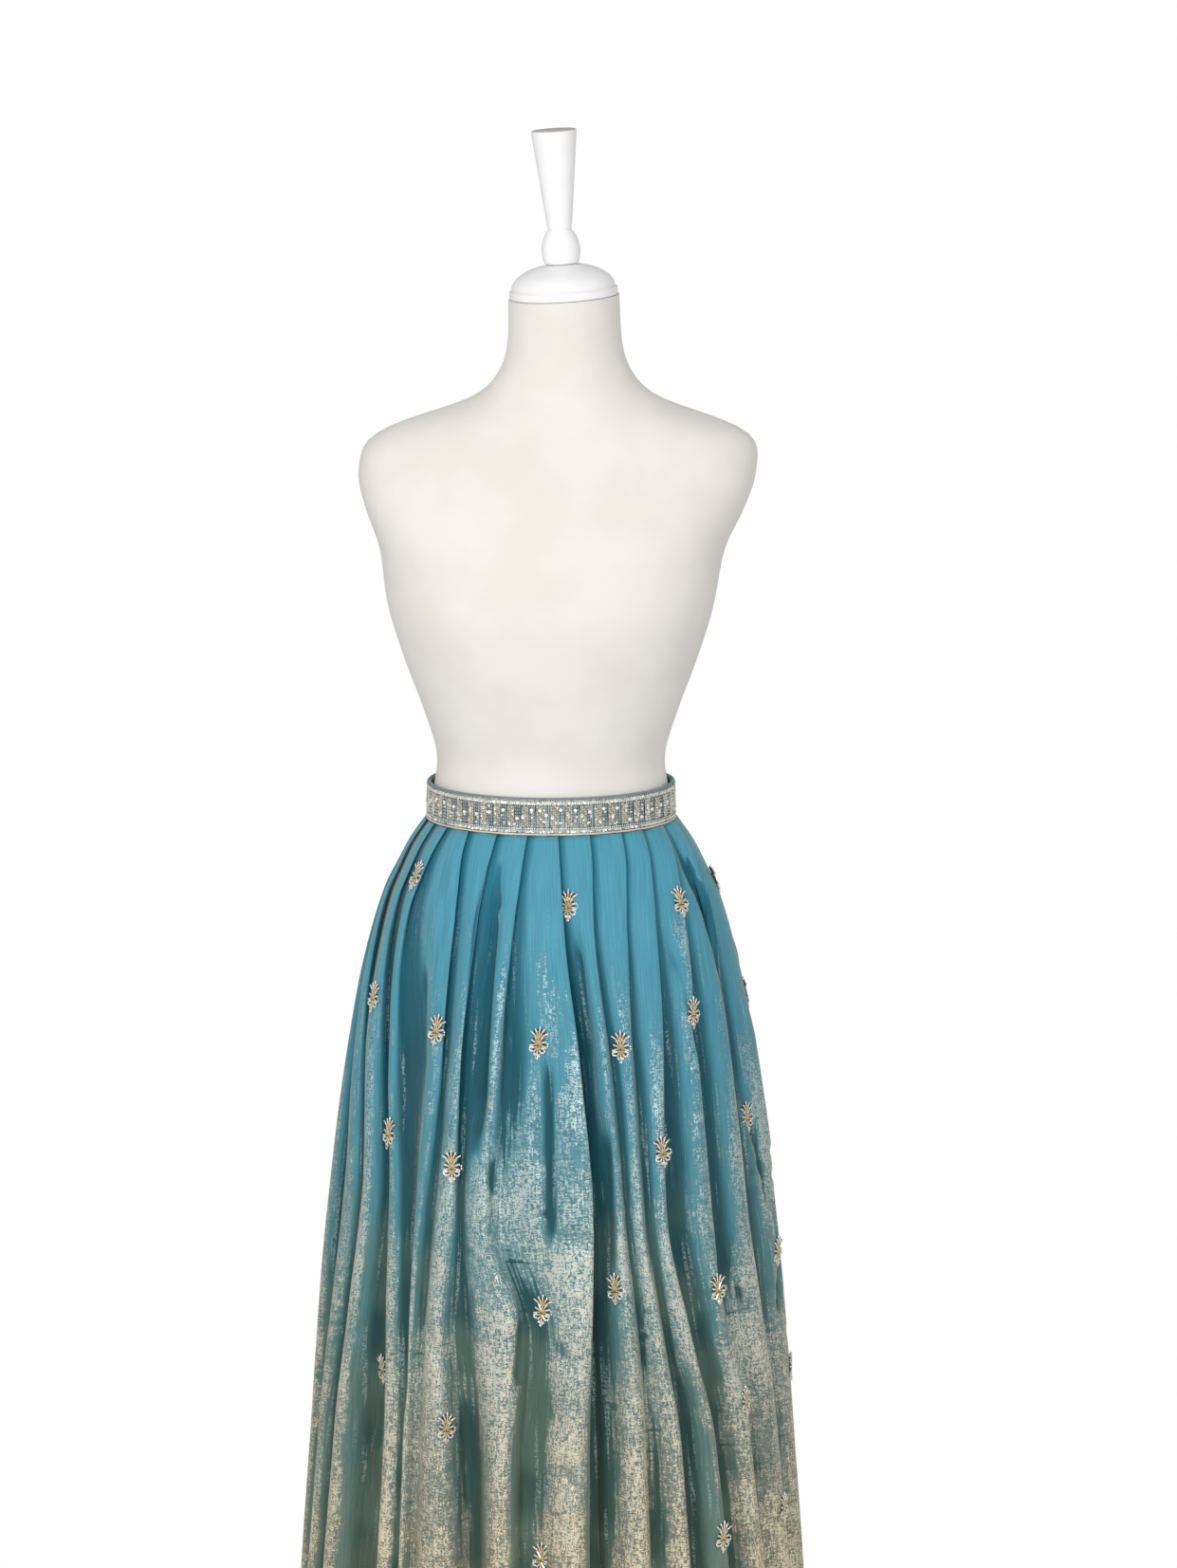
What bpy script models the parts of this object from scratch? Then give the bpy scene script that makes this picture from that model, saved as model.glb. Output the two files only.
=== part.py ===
"""Pleated lehenga skirt on a limbless dress form.

Metres, +Z up. The front faces -Y and the origin is the centre of the round base's underside.
Angles round the skirt start at the front and grow towards +X.
"""
from collections import namedtuple
from math import ceil, cos, hypot, pi, radians, sin, tan

import bmesh
import bpy
from mathutils import Vector

# Driving sizes of the garment
WAIST_Z = 1.055            # top edge of the waistband above the floor
BAND_HEIGHT = 0.036
BAND_HALF_WIDTH = 0.1205   # outer face at the top edge, without the raised borders
BAND_HALF_DEPTH = 0.0968
BAND_FLARE = 0.0010        # how much wider the band is at its lower edge
BAND_THICKNESS = 0.0032
BORDER_HEIGHT = 0.0052     # raised bead borders along both edges
BORDER_RISE = 0.0009
BACK_SLIT = 0.0008         # the waistband's two ends at the centre back
TAB_ANGLE = 17.0           # degrees that the closing tab covers
TAB_THICKNESS = 0.0016
HEM_Z = 0.014
WALL = 0.0010              # layers of tissue cloth, modelled as one wall
SEAM_GAP = 0.0003
PLEAT_OVERLAP = 0.011      # how far a stitched pleat lies over the next
LAYER_STEP = 0.0026        # from one layer of a pressed pleat to the next
OPENING_SPAN = 0.24        # height over which a pressed pleat opens into a round fold
LEAST_VALLEY = 0.0085      # depth of the shallowest open valley below both its folds
OVERLAP_SHARE = 0.36       # of the narrower of two neighbouring pleats, at most
LIP_SHARE = 0.22           # of the next pleat: how far an open fold's right flank runs, at most

# Driving sizes of the stand
BASE_RADIUS = 0.180
BASE_HEIGHT = 0.014
BASE_EDGE = 0.003
POLE_RADIUS = 0.015
TORSO_FOOT_Z = 0.800
NECK_TOP_Z = 1.5300
NECK_RADIUS = 0.0538
NECK_CENTRE = 0.0128        # how far the neck's top stands off the waist's axis, towards +X
CAP_RADIUS = 0.0525
CAP_RIM = 0.0085
CAP_DOME = 0.0240
CAP_TILT = 3.4             # degrees that the cap, and the neck's top under it, lean towards -X
CAP_TILT_FROM = 1.475      # height on the neck where that lean starts
FINIAL_BALL_RADIUS = 0.0188
FINIAL_BALL_HEIGHT = 0.0315
FINIAL_BALL_TOP = 39.0     # degrees down from the ball's pole to its upper and its lower edge
FINIAL_BALL_FOOT = 118.0
FINIAL_GROOVE_RADIUS = 0.0108
FINIAL_CONE_FOOT = 0.0118
FINIAL_CONE_TOP = 0.0222
FINIAL_CONE_HEIGHT = 0.0945

# Outline of the skirt over its outermost folds
Outline = namedtuple("Outline", "height half_width depth_share")
OUTLINE = (
    Outline(1.019, 0.1239, 0.815),
    Outline(0.995, 0.1408, 0.822),
    Outline(0.971, 0.1535, 0.830),
    Outline(0.947, 0.1655, 0.850),
    Outline(0.900, 0.1805, 0.880),
    Outline(0.852, 0.1920, 0.905),
    Outline(0.780, 0.2045, 0.930),
    Outline(0.683, 0.2185, 0.950),
    Outline(0.586, 0.2290, 0.960),
    Outline(0.488, 0.2370, 0.965),
    Outline(0.390, 0.2440, 0.965),
    Outline(0.250, 0.2545, 0.965),
    Outline(0.000, 0.2700, 0.965),
)

# Heights at which each fold's edge is placed, from the waistband to the hem
FOLD_LEVELS = (1.019, 0.930, 0.810, 0.660, 0.545, 0.430, 0.014)

# A row is one fold. The edge angles, in degrees, are its right-hand edge at each fold level. Of the
# stretch from the fold before, the ridge takes the share ridge_mid at 0.66 m and ridge_low below.
# Valleys are in front of the ridge, on its left. The pleat stays pressed over the next down to open_z.
Fold = namedtuple("Fold", "edges ridge_mid ridge_low valley_mid valley_low recess open_z lip")
SEEN_FOLDS = (
    Fold((-84.0, -79.0, -72.0, -62.5, -66.1, -70.5, -74.0), 0.60, 0.50, 0.013, 0.023, 0.001, 0.86, 0.006),
    Fold((-68.5, -65.5, -60.0, -53.0, -55.3, -58.2, -60.5), 0.86, 0.80, 0.009, 0.018, 0.000, 0.84, 0.004),
    Fold((-55.5, -57.0, -52.5, -44.5, -42.1, -41.0, -42.0), 0.62, 0.40, 0.018, 0.032, 0.006, 0.88, 0.005),
    Fold((-40.5, -33.5, -32.5, -34.8, -35.6, -36.0, -34.0), 0.42, 0.45, 0.015, 0.012, 0.002, 0.80, 0.004),
    Fold((-25.0, -24.7, -25.6, -25.5, -27.0, -24.5, -18.5), 0.92, 0.86, 0.011, 0.016, 0.000, 0.72, 0.006),
    Fold((-10.5, -12.3, -14.5, -15.4, -6.8, -8.8, -6.5), 0.82, 0.62, 0.011, 0.031, 0.000, 0.86, 0.005),
    Fold((3.5, 4.7, 8.5, 11.0, 10.2, 9.4, 9.0), 0.80, 0.62, 0.015, 0.026, 0.000, 0.50, 0.001),
    Fold((18.0, 14.5, 17.0, 19.0, 21.6, 23.5, 24.5), 0.60, 0.55, 0.026, 0.036, 0.001, 0.88, 0.006),
    Fold((34.0, 26.0, 24.0, 24.5, 28.8, 33.5, 36.5), 0.75, 0.62, 0.007, 0.021, 0.002, 0.87, 0.006),
    Fold((46.5, 37.0, 33.8, 31.5, 36.9, 43.5, 48.5), 0.80, 0.60, 0.007, 0.026, 0.000, 0.78, 0.005),
    Fold((63.5, 50.5, 47.0, 46.5, 50.7, 56.0, 61.5), 0.55, 0.55, 0.020, 0.029, 0.000, 0.84, 0.004),
    Fold((79.0, 69.0, 64.5, 63.0, 66.7, 71.5, 76.5), 0.70, 0.60, 0.015, 0.026, 0.002, 0.88, 0.006),
)
# The back has as many folds again, with the seen folds' shapes in another order
BACK_ORDER = (6, 3, 9, 5, 1, 10, 4, 2, 7, 11, 8, 0)
BACK_SWAY = (0.9, -1.7, 1.4, -0.6, 2.0, -1.2, 0.4, 1.6, -1.9, 0.7, -0.9, 0.2)

# Heights of the rings of vertices, closer together where the pleats spread from the band
RING_HEIGHTS = (
    1.0182, 0.988, 0.955, 0.918, 0.878, 0.830, 0.770, 0.700, 0.610, 0.490, 0.345, 0.180, HEM_Z,
)

State = namedtuple("State", "edge ridge floor crest opened lip")

# The folds that each panel holds, counted from the left side
PANELS = (
    ("skirt_front_left", 0, 7),
    ("skirt_front_right", 7, 12),
    ("skirt_back_right", 12, 18),
    ("skirt_back_left", 18, 24),
)

# Rings of the padded form: depth to the front and to the back from the axis, and how far the ring's
# centre stands off the waist's axis, towards +X
Ring = namedtuple("Ring", "height half_width front back squareness centre")
TORSO = (
    Ring(0.800, 0.1560, 0.1080, 0.1140, 2.2, 0.0),
    Ring(0.870, 0.1590, 0.1090, 0.1160, 2.2, 0.0),
    Ring(0.930, 0.1430, 0.1010, 0.1040, 2.2, 0.0),
    Ring(0.972, 0.1250, 0.0955, 0.0955, 2.1, 0.0),
    Ring(0.999, 0.1172, 0.0935, 0.0935, 2.0, 0.0),
    Ring(1.033, 0.1172, 0.0935, 0.0935, 2.0, 0.0),
    Ring(1.075, 0.1110, 0.0880, 0.0870, 2.03, 0.0),
    Ring(1.125, 0.1240, 0.0960, 0.0890, 2.2, 0.0),
    Ring(1.180, 0.1440, 0.1110, 0.0950, 2.3, 0.0),
    Ring(1.235, 0.1600, 0.1230, 0.1020, 2.35, 0.0),
    Ring(1.285, 0.1675, 0.1170, 0.1070, 2.4, 0.0015),
    Ring(1.325, 0.1840, 0.1030, 0.1090, 2.4, 0.0040),
    Ring(1.360, 0.1935, 0.0890, 0.1040, 2.3, 0.0062),
    Ring(1.385, 0.1925, 0.0770, 0.0960, 2.2, 0.0095),
    Ring(1.398, 0.1830, 0.0700, 0.0905, 2.15, 0.0115),
    Ring(1.408, 0.1600, 0.0655, 0.0865, 2.1, 0.0130),
    Ring(1.417, 0.1350, 0.0620, 0.0815, 2.07, 0.0140),
    Ring(1.426, 0.0985, 0.0590, 0.0765, 2.03, 0.0146),
    Ring(1.436, 0.0825, 0.0560, 0.0705, 2.0, 0.0146),
    Ring(1.445, 0.0730, 0.0545, 0.0655, 2.0, 0.0144),
    Ring(1.454, 0.0660, 0.0535, 0.0615, 2.0, 0.0143),
    Ring(1.475, 0.0570, 0.0535, 0.0570, 2.0, 0.0141),
    Ring(1.500, 0.0543, 0.0535, 0.0545, 2.0, 0.0135),
    Ring(NECK_TOP_Z, NECK_RADIUS, 0.0538, 0.0538, 2.0, NECK_CENTRE),
)
TORSO_SIDES = 32
TORSO_RING_GAP = 0.03318
TORSO_RINGS = 17            # evenly spaced from the foot to below the shoulders
SHOULDER_HEIGHTS = (1.356, 1.380, 1.396, 1.408, 1.419, 1.430, 1.444, 1.460, 1.482, 1.505)


def blend(low, high, share):
    return low + (high - low) * share


def ease(share):
    share = min(1.0, max(0.0, share))
    return share * share * (3 - 2 * share)


def smooth_read(heights, values, at):
    """Reads a value at a height from a table, along a smooth curve that never overshoots."""
    if heights[0] > heights[-1]:
        heights = heights[::-1]
        values = values[::-1]
    at = min(heights[-1], max(heights[0], at))
    slopes = [(values[i + 1] - values[i]) / (heights[i + 1] - heights[i]) for i in range(len(heights) - 1)]
    tangents = [slopes[0]]
    for before, after in zip(slopes, slopes[1:]):
        tangents.append(0.0 if before * after <= 0 else 2 * before * after / (before + after))
    tangents.append(slopes[-1])
    i = max(j for j in range(len(slopes)) if heights[j] <= at)
    span = heights[i + 1] - heights[i]
    t = (at - heights[i]) / span
    return (
        (2 * t**3 - 3 * t**2 + 1) * values[i]
        + (t**3 - 2 * t**2 + t) * span * tangents[i]
        + (3 * t**2 - 2 * t**3) * values[i + 1]
        + (t**3 - t**2) * span * tangents[i + 1]
    )


def outline_at(height):
    """Half width and half depth of the skirt over its outer folds."""
    heights = [row.height for row in OUTLINE]
    width = smooth_read(heights, [row.half_width for row in OUTLINE], height)
    share = smooth_read(heights, [row.depth_share for row in OUTLINE], height)
    return width, width * share


def all_folds():
    """The seen folds, then those round the back, spread between the last seen fold and the first."""
    folds = list(SEEN_FOLDS)
    last, first = SEEN_FOLDS[-1], SEEN_FOLDS[0]
    steps = len(BACK_ORDER) + 1
    for number, (like, sway) in enumerate(zip(BACK_ORDER, BACK_SWAY), start=1):
        edges = []
        for level in range(len(FOLD_LEVELS)):
            even = blend(last.edges[level], first.edges[level] + 360, number / steps)
            edges.append(even + sway * level / 2)
        folds.append(SEEN_FOLDS[like]._replace(edges=tuple(edges)))
    return folds


def fold_state(fold, height):
    """What one fold is like at a height."""
    down = ease((1.01 - height) / 0.22)
    low = ease((0.70 - height) / 0.30)
    opened = ease((fold.open_z + OPENING_SPAN / 2 - height) / OPENING_SPAN)
    edge = smooth_read(FOLD_LEVELS, fold.edges, height)
    ridge = blend(blend(0.92, fold.ridge_mid, down), fold.ridge_low, low)
    valley = blend(fold.valley_mid, fold.valley_low, low)
    floor = WALL / 2 + blend(2 * LAYER_STEP, max(valley, 2 * LAYER_STEP), down)
    crest = WALL / 2 + fold.recess * down
    return State(edge, ridge, floor, crest, opened, fold.lip)


def section(folds, height):
    """One ring through all the folds: for each fold, eight points of the cloth's middle line."""
    half_width, half_depth = outline_at(height)
    bend = LAYER_STEP / 2

    def pace(angle):
        return hypot(half_width * cos(angle), half_depth * sin(angle))

    def place(edge, along, inward):
        """A point beside a fold's edge: so far along the outline, and so far in from it."""
        angle = radians(edge)
        angle += along / pace(angle)
        across = half_depth * sin(angle)
        forward = half_width * cos(angle)
        length = hypot(across, forward)
        return (
            half_width * sin(angle) - inward * across / length,
            -half_depth * cos(angle) + inward * forward / length,
            height,
        )

    states = [fold_state(fold, height) for fold in folds]
    floors = []
    for number, state in enumerate(states):
        crests = max(state.crest, states[number - 1].crest)
        least = blend(2 * LAYER_STEP, LEAST_VALLEY, ease((1.01 - height) / 0.12))
        floors.append(max(state.floor, crests + least))
    starts = [state.edge for state in states[-1:] + states[:-1]]
    starts[0] -= 360
    pitches = [
        radians(state.edge - start) * pace(radians(state.edge + start) / 2)
        for state, start in zip(states, starts)
    ]
    laps = []
    for number, state in enumerate(states):
        following = pitches[(number + 1) % len(states)]
        overlap = min(PLEAT_OVERLAP, OVERLAP_SHARE * following, OVERLAP_SHARE * pitches[number] * state.ridge)
        lip = min(state.lip, LIP_SHARE * following)
        laps.append((overlap, lip))

    rows = []
    for number, state in enumerate(states):
        before = states[number - 1]
        lap_before, lip_before = laps[number - 1]
        overlap, lip = laps[number]
        opened = state.opened
        valley_start = blend(-lap_before - 0.2 * bend, lip_before + 0.0015, before.opened)
        width = min(pitches[number] * state.ridge, pitches[number] - max(0.0, valley_start) - 0.003)
        crest = state.crest
        depth = floors[number] - crest
        side = floors[(number + 1) % len(states)] - crest
        flank = (
            (-width, floors[number] - 0.06 * depth),
            (-width * blend(0.72, 0.78, opened), crest + depth * blend(0.62, 0.38, opened)),
            (-width * 0.44, crest + blend(min(0.2 * depth, 0.9 * bend), 0.0, opened)),
            (-blend(bend, 0.14 * width, opened), crest + 0.05 * depth * opened),
            (0.0, crest + blend(bend, 0.40 * side, opened)),
            (blend(-bend, 0.45 * lip, opened), crest + blend(2 * bend, 0.72 * side, opened)),
            (
                blend(-overlap - bend, 0.85 * lip, opened),
                crest + side - blend(bend, 0.08 * side, opened),
            ),
        )
        row = [place(starts[number], valley_start, floors[number])]
        row += [place(state.edge, along, inward) for along, inward in flank]
        rows.append(row)
    return rows


def seam_points(fold_points):
    """The two sides of a seam halfway along the valley in front of a fold."""
    near = Vector(fold_points[0])
    far = Vector(fold_points[1])
    middle = (near + far) / 2
    half_gap = (far - near).normalized() * SEAM_GAP / 2
    return middle - half_gap, middle + half_gap


def panel_line(rows, start, end):
    """The part of one ring that belongs to a panel, from its left seam to its right seam."""
    line = [seam_points(rows[start])[1]]
    line += rows[start][1:]
    for number in range(start + 1, end):
        line += rows[number]
    following = rows[end % len(rows)]
    line.append(following[0])
    line.append(seam_points(following)[0])
    return line


def add_material(name, colour, roughness, metallic=0.0):
    material = bpy.data.materials.new(name)
    material.use_nodes = True
    shader = material.node_tree.nodes["Principled BSDF"]
    shader.inputs["Base Color"].default_value = (*colour, 1.0)
    shader.inputs["Roughness"].default_value = roughness
    shader.inputs["Metallic"].default_value = metallic
    return material


def add_object(name, mesh, material, collection):
    made = bpy.data.objects.new(name, mesh)
    made.data.materials.append(material)
    collection.objects.link(made)
    return made


def add_sheet(name, lines, thickness, material, collection):
    """A cloth wall through open lines of points, one line for each height."""
    mesh = bpy.data.meshes.new(name)
    bm = bmesh.new()
    rows = [[bm.verts.new(point) for point in line] for line in lines]
    for upper, lower in zip(rows, rows[1:]):
        for i in range(len(upper) - 1):
            bm.faces.new((upper[i], lower[i], lower[i + 1], upper[i + 1]))
    bm.to_mesh(mesh)
    bm.free()
    mesh.shade_smooth()
    made = add_object(name, mesh, material, collection)
    wall = made.modifiers.new("cloth wall", "SOLIDIFY")
    wall.thickness = thickness
    wall.offset = 0.0
    wall.use_even_offset = False
    return made


def add_loft(name, loops, material, collection, crease_angle=40.0):
    """A closed solid through closed loops of points, with a flat cap at each end."""
    mesh = bpy.data.meshes.new(name)
    bm = bmesh.new()
    rows = [[bm.verts.new(point) for point in loop] for loop in loops]
    for one, other in zip(rows, rows[1:]):
        for i in range(len(one)):
            j = (i + 1) % len(one)
            bm.faces.new((one[i], one[j], other[j], other[i]))
    bm.faces.new(rows[0])
    bm.faces.new(rows[-1])
    bmesh.ops.recalc_face_normals(bm, faces=bm.faces)
    bm.to_mesh(mesh)
    bm.free()
    mesh.shade_smooth()
    mesh.set_sharp_from_angle(angle=radians(crease_angle))
    return add_object(name, mesh, material, collection)


def add_turned(name, profile, above, material, collection, steps):
    """A turned solid from a profile of radius and height, listed from the top down.

    It stands so far above the leaning top of the neck, along the same axis.
    """
    mesh = bpy.data.meshes.new(name)
    points = [(radius, 0.0, height) for radius, height in profile]
    mesh.from_pydata(points, [(i, i + 1) for i in range(len(points) - 1)], [])
    made = add_object(name, mesh, material, collection)
    lean = radians(CAP_TILT)
    made.location = (NECK_CENTRE - above * sin(lean), 0.0, NECK_TOP_Z + above * cos(lean))
    made.rotation_euler.y = -lean
    screw = made.modifiers.new("turned", "SCREW")
    screw.axis = "Z"
    screw.steps = steps
    screw.render_steps = steps
    screw.use_merge_vertices = True
    screw.merge_threshold = 0.00001
    return made


def add_cylinder(name, radius, height, base_z, sides, material, collection):
    bpy.ops.mesh.primitive_cylinder_add(
        vertices=sides, radius=radius, depth=height, location=(0, 0, base_z + height / 2)
    )
    made = bpy.context.object
    made.name = name
    made.data.name = name
    made.data.materials.append(material)
    for owner in made.users_collection:
        owner.objects.unlink(made)
    collection.objects.link(made)
    return made


def make_skirt(cloth, collection):
    folds = all_folds()
    rings = [section(folds, height) for height in RING_HEIGHTS]
    for name, start, end in PANELS:
        lines = [panel_line(rows, start, end) for rows in rings]
        add_sheet(name, lines, WALL, cloth, collection)


def band_point(angle, outward, above):
    """A point on the waistband: so far out of its outer face, and so far above its lower edge."""
    flare = BAND_FLARE * (1 - above / BAND_HEIGHT)
    half_width = BAND_HALF_WIDTH + flare
    half_depth = BAND_HALF_DEPTH + flare
    across = half_depth * sin(angle)
    forward = half_width * cos(angle)
    length = hypot(across, forward)
    return (
        half_width * sin(angle) + outward * across / length,
        -half_depth * cos(angle) - outward * forward / length,
        WAIST_Z - BAND_HEIGHT + above,
    )


def arc_steps(start, end, step_degrees):
    count = ceil((end - start) / step_degrees)
    return [radians(blend(start, end, i / count)) for i in range(count + 1)]


def make_waistband(cloth, collection):
    """A band with a raised border along each edge, open at the back under the closing tab."""
    top = BAND_HEIGHT
    slope = BORDER_RISE * 1.2
    profile = (
        (-BAND_THICKNESS, 0.0),
        (BORDER_RISE, 0.0),
        (BORDER_RISE, BORDER_HEIGHT - slope),
        (0.0, BORDER_HEIGHT),
        (0.0, top - BORDER_HEIGHT),
        (BORDER_RISE, top - BORDER_HEIGHT + slope),
        (BORDER_RISE, top),
        (-BAND_THICKNESS, top),
    )
    half_slit = BACK_SLIT / BAND_HALF_WIDTH * 90 / pi
    angles = arc_steps(-180 + half_slit, 180 - half_slit, 7.5)
    loops = [[band_point(angle, *point) for point in profile] for angle in angles]
    add_loft("waistband", loops, cloth, collection)

    inner = BORDER_RISE + SEAM_GAP
    outer = inner + TAB_THICKNESS
    edge = 0.001
    tab_profile = ((inner, edge), (outer, edge), (outer, top - edge), (inner, top - edge))
    angles = arc_steps(180 - TAB_ANGLE / 2, 180 + TAB_ANGLE / 2, 3)
    loops = [[band_point(angle, *point) for point in tab_profile] for angle in angles]
    add_loft("waistband_tab", loops, cloth, collection)


def torso_ring(height):
    """A ring of the form: a rounded oval whose front and back depths differ."""
    heights = [ring.height for ring in TORSO]
    half_width, front, back, squareness, centre = (
        smooth_read(heights, [ring[column] for ring in TORSO], height) for column in range(1, 6)
    )
    slope = tan(radians(CAP_TILT)) * ease((height - CAP_TILT_FROM) / (NECK_TOP_Z - CAP_TILT_FROM))
    loop = []
    for i in range(TORSO_SIDES):
        angle = 2 * pi * i / TORSO_SIDES
        across, forward = sin(angle), cos(angle)
        reach = (abs(across) ** squareness + abs(forward) ** squareness) ** (-1 / squareness)
        depth = front if forward > 0 else back
        side = half_width * reach * across
        loop.append((centre + side, -depth * reach * forward, height + side * slope))
    return loop


def make_form(padding, enamel, metal, collection):
    """Padded torso without limbs, turned cap and finial, pole and round base."""
    heights = [TORSO_FOOT_Z + TORSO_RING_GAP * i for i in range(TORSO_RINGS)]
    heights += (*SHOULDER_HEIGHTS, NECK_TOP_Z)
    add_loft("form_torso", [torso_ring(height) for height in heights], padding, collection)

    arc = [radians(90 - 18 * i) for i in range(6)]
    dome = [(CAP_RADIUS * 0.94 * cos(a), CAP_RIM + CAP_DOME * sin(a)) for a in arc]
    rim = [(CAP_RADIUS, CAP_RIM), (CAP_RADIUS, 0.0), (0.0, 0.0)]
    add_turned("neck_cap", dome + rim, SEAM_GAP, enamel, collection, 32)

    turns = [radians(blend(FINIAL_BALL_TOP, FINIAL_BALL_FOOT, i / 8)) for i in range(9)]
    reach = FINIAL_BALL_HEIGHT / (cos(turns[0]) - cos(turns[-1]))
    ball = [(FINIAL_BALL_RADIUS * sin(a), reach * (cos(a) - cos(turns[-1]))) for a in turns]
    cone_foot = FINIAL_BALL_HEIGHT + 0.002
    cone_top = cone_foot + FINIAL_CONE_HEIGHT
    chamfer = 0.0012
    profile = [
        (0.0, cone_top),
        (FINIAL_CONE_TOP - chamfer, cone_top),
        (FINIAL_CONE_TOP, cone_top - chamfer),
        (FINIAL_CONE_FOOT, cone_foot),
        (FINIAL_GROOVE_RADIUS, cone_foot - 0.001),
    ]
    profile += ball
    profile.append((0.0, 0.0))
    add_turned("finial", profile, CAP_RIM + CAP_DOME + 2 * SEAM_GAP, enamel, collection, 24)

    pole_z = BASE_HEIGHT + SEAM_GAP
    pole_height = TORSO_FOOT_Z - SEAM_GAP - pole_z
    add_cylinder("pole", POLE_RADIUS, pole_height, pole_z, 24, metal, collection)
    base = add_cylinder("base", BASE_RADIUS, BASE_HEIGHT, 0.0, 48, metal, collection)
    edge = base.modifiers.new("eased edge", "BEVEL")
    edge.width = BASE_EDGE
    edge.segments = 1
    edge.limit_method = "ANGLE"


def main():
    for old in list(bpy.data.objects):
        bpy.data.objects.remove(old, do_unlink=True)
    collection = bpy.data.collections.new("lehenga skirt on dress form")
    bpy.context.scene.collection.children.link(collection)
    tissue = add_material("teal and gold tissue cloth", (0.10, 0.30, 0.36), 0.42, 0.35)
    beaded = add_material("beaded band", (0.42, 0.44, 0.43), 0.40, 0.50)
    padding = add_material("covered foam", (0.86, 0.84, 0.81), 0.75)
    enamel = add_material("white enamel", (0.88, 0.88, 0.87), 0.22)
    metal = add_material("white powder coat", (0.82, 0.82, 0.81), 0.50)
    make_skirt(tissue, collection)
    make_waistband(beaded, collection)
    make_form(padding, enamel, metal, collection)


main()
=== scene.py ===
"""Looks of a pleated lehenga skirt on its dress form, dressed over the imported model.

Metres, +Z up. The front faces -Y. Angles round the skirt start at the front and grow towards +X.
"""
from collections import namedtuple
from functools import partial
from math import ceil, cos, degrees, hypot, pi, radians, sin, tan, tau
import random

import bmesh
import bpy
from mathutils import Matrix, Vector, noise
import numpy as np


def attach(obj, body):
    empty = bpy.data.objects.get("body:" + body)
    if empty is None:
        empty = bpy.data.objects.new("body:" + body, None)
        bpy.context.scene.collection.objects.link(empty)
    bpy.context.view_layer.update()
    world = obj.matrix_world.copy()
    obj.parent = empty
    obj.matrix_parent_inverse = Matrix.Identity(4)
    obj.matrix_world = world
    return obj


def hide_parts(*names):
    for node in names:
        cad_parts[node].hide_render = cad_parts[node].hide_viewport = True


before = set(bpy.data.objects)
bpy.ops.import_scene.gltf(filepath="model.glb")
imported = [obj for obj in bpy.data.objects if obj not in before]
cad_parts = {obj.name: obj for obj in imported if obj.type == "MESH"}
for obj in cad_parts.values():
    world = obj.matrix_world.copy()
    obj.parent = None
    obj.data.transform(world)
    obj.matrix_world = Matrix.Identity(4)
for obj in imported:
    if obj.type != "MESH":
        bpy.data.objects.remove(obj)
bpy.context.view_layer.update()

# Sizes of the garment, as in the CAD source
WAIST_Z = 1.055
BAND_HEIGHT = 0.036
BAND_HALF_WIDTH = 0.1205
BAND_HALF_DEPTH = 0.0968
BAND_FLARE = 0.0010
BAND_THICKNESS = 0.0032
BORDER_HEIGHT = 0.0052
BORDER_RISE = 0.0009
BACK_SLIT = 0.0008
HEM_Z = 0.014
WALL = 0.0010
SEAM_GAP = 0.0003
PLEAT_OVERLAP = 0.011
LAYER_STEP = 0.0026
OPENING_SPAN = 0.24
LEAST_VALLEY = 0.0085
OVERLAP_SHARE = 0.36
LIP_SHARE = 0.22

# Sizes of the stand, as in the CAD source
TORSO_FOOT_Z = 0.800
NECK_TOP_Z = 1.5300
NECK_RADIUS = 0.0538
NECK_CENTRE = 0.0128
CAP_RADIUS = 0.0525
CAP_RIM = 0.0085
CAP_DOME = 0.0240
CAP_TILT = 3.4
CAP_TILT_FROM = 1.475
FINIAL_BALL_RADIUS = 0.0188
FINIAL_BALL_HEIGHT = 0.0315
FINIAL_BALL_TOP = 39.0
FINIAL_BALL_FOOT = 118.0
FINIAL_GROOVE_RADIUS = 0.0108
FINIAL_CONE_FOOT = 0.0118
FINIAL_CONE_TOP = 0.0222
FINIAL_CONE_HEIGHT = 0.0945

# What the scene adds to those
CLOTH_THICKNESS = 0.0006
CLOTH_TOP = 1.0182         # under the waistband
RING_COUNT = 150
RING_EVENNESS = 0.72       # the rest of the rings' spacing grows towards the hem
SEWING_ALLOWANCE = 0.01    # cut on for a panel's seams, and for its hem
FLOOR_RADIUS = 0.66        # stays below the photo's lower edge

# How pressed pleats grow into folds, as in the CAD source: from which height, and over how much of it
GROWTH_TOP = 1.01
GROWTH_SPAN = 0.22
VALLEY_SPAN = 0.12         # in which the valleys reach their least depth
LOW_TOP = 0.70             # from where the folds take the shapes that they have low down
LOW_SPAN = 0.30
PRESSED_RIDGE = 0.92       # the share of its stretch that a pressed pleat takes
VALLEY_START = 0.0015      # from the lip of an open fold
LEAST_FLOOR = 0.003        # what a ridge leaves bare beside it

# Outline of the skirt over its outermost folds
Outline = namedtuple("Outline", "height half_width depth_share")
OUTLINE = (
    Outline(1.019, 0.1239, 0.815),
    Outline(0.995, 0.1408, 0.822),
    Outline(0.971, 0.1535, 0.830),
    Outline(0.947, 0.1655, 0.850),
    Outline(0.900, 0.1805, 0.880),
    Outline(0.852, 0.1920, 0.905),
    Outline(0.780, 0.2045, 0.930),
    Outline(0.683, 0.2185, 0.950),
    Outline(0.586, 0.2290, 0.960),
    Outline(0.488, 0.2370, 0.965),
    Outline(0.390, 0.2440, 0.965),
    Outline(0.250, 0.2545, 0.965),
    Outline(0.000, 0.2700, 0.965),
)

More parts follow.
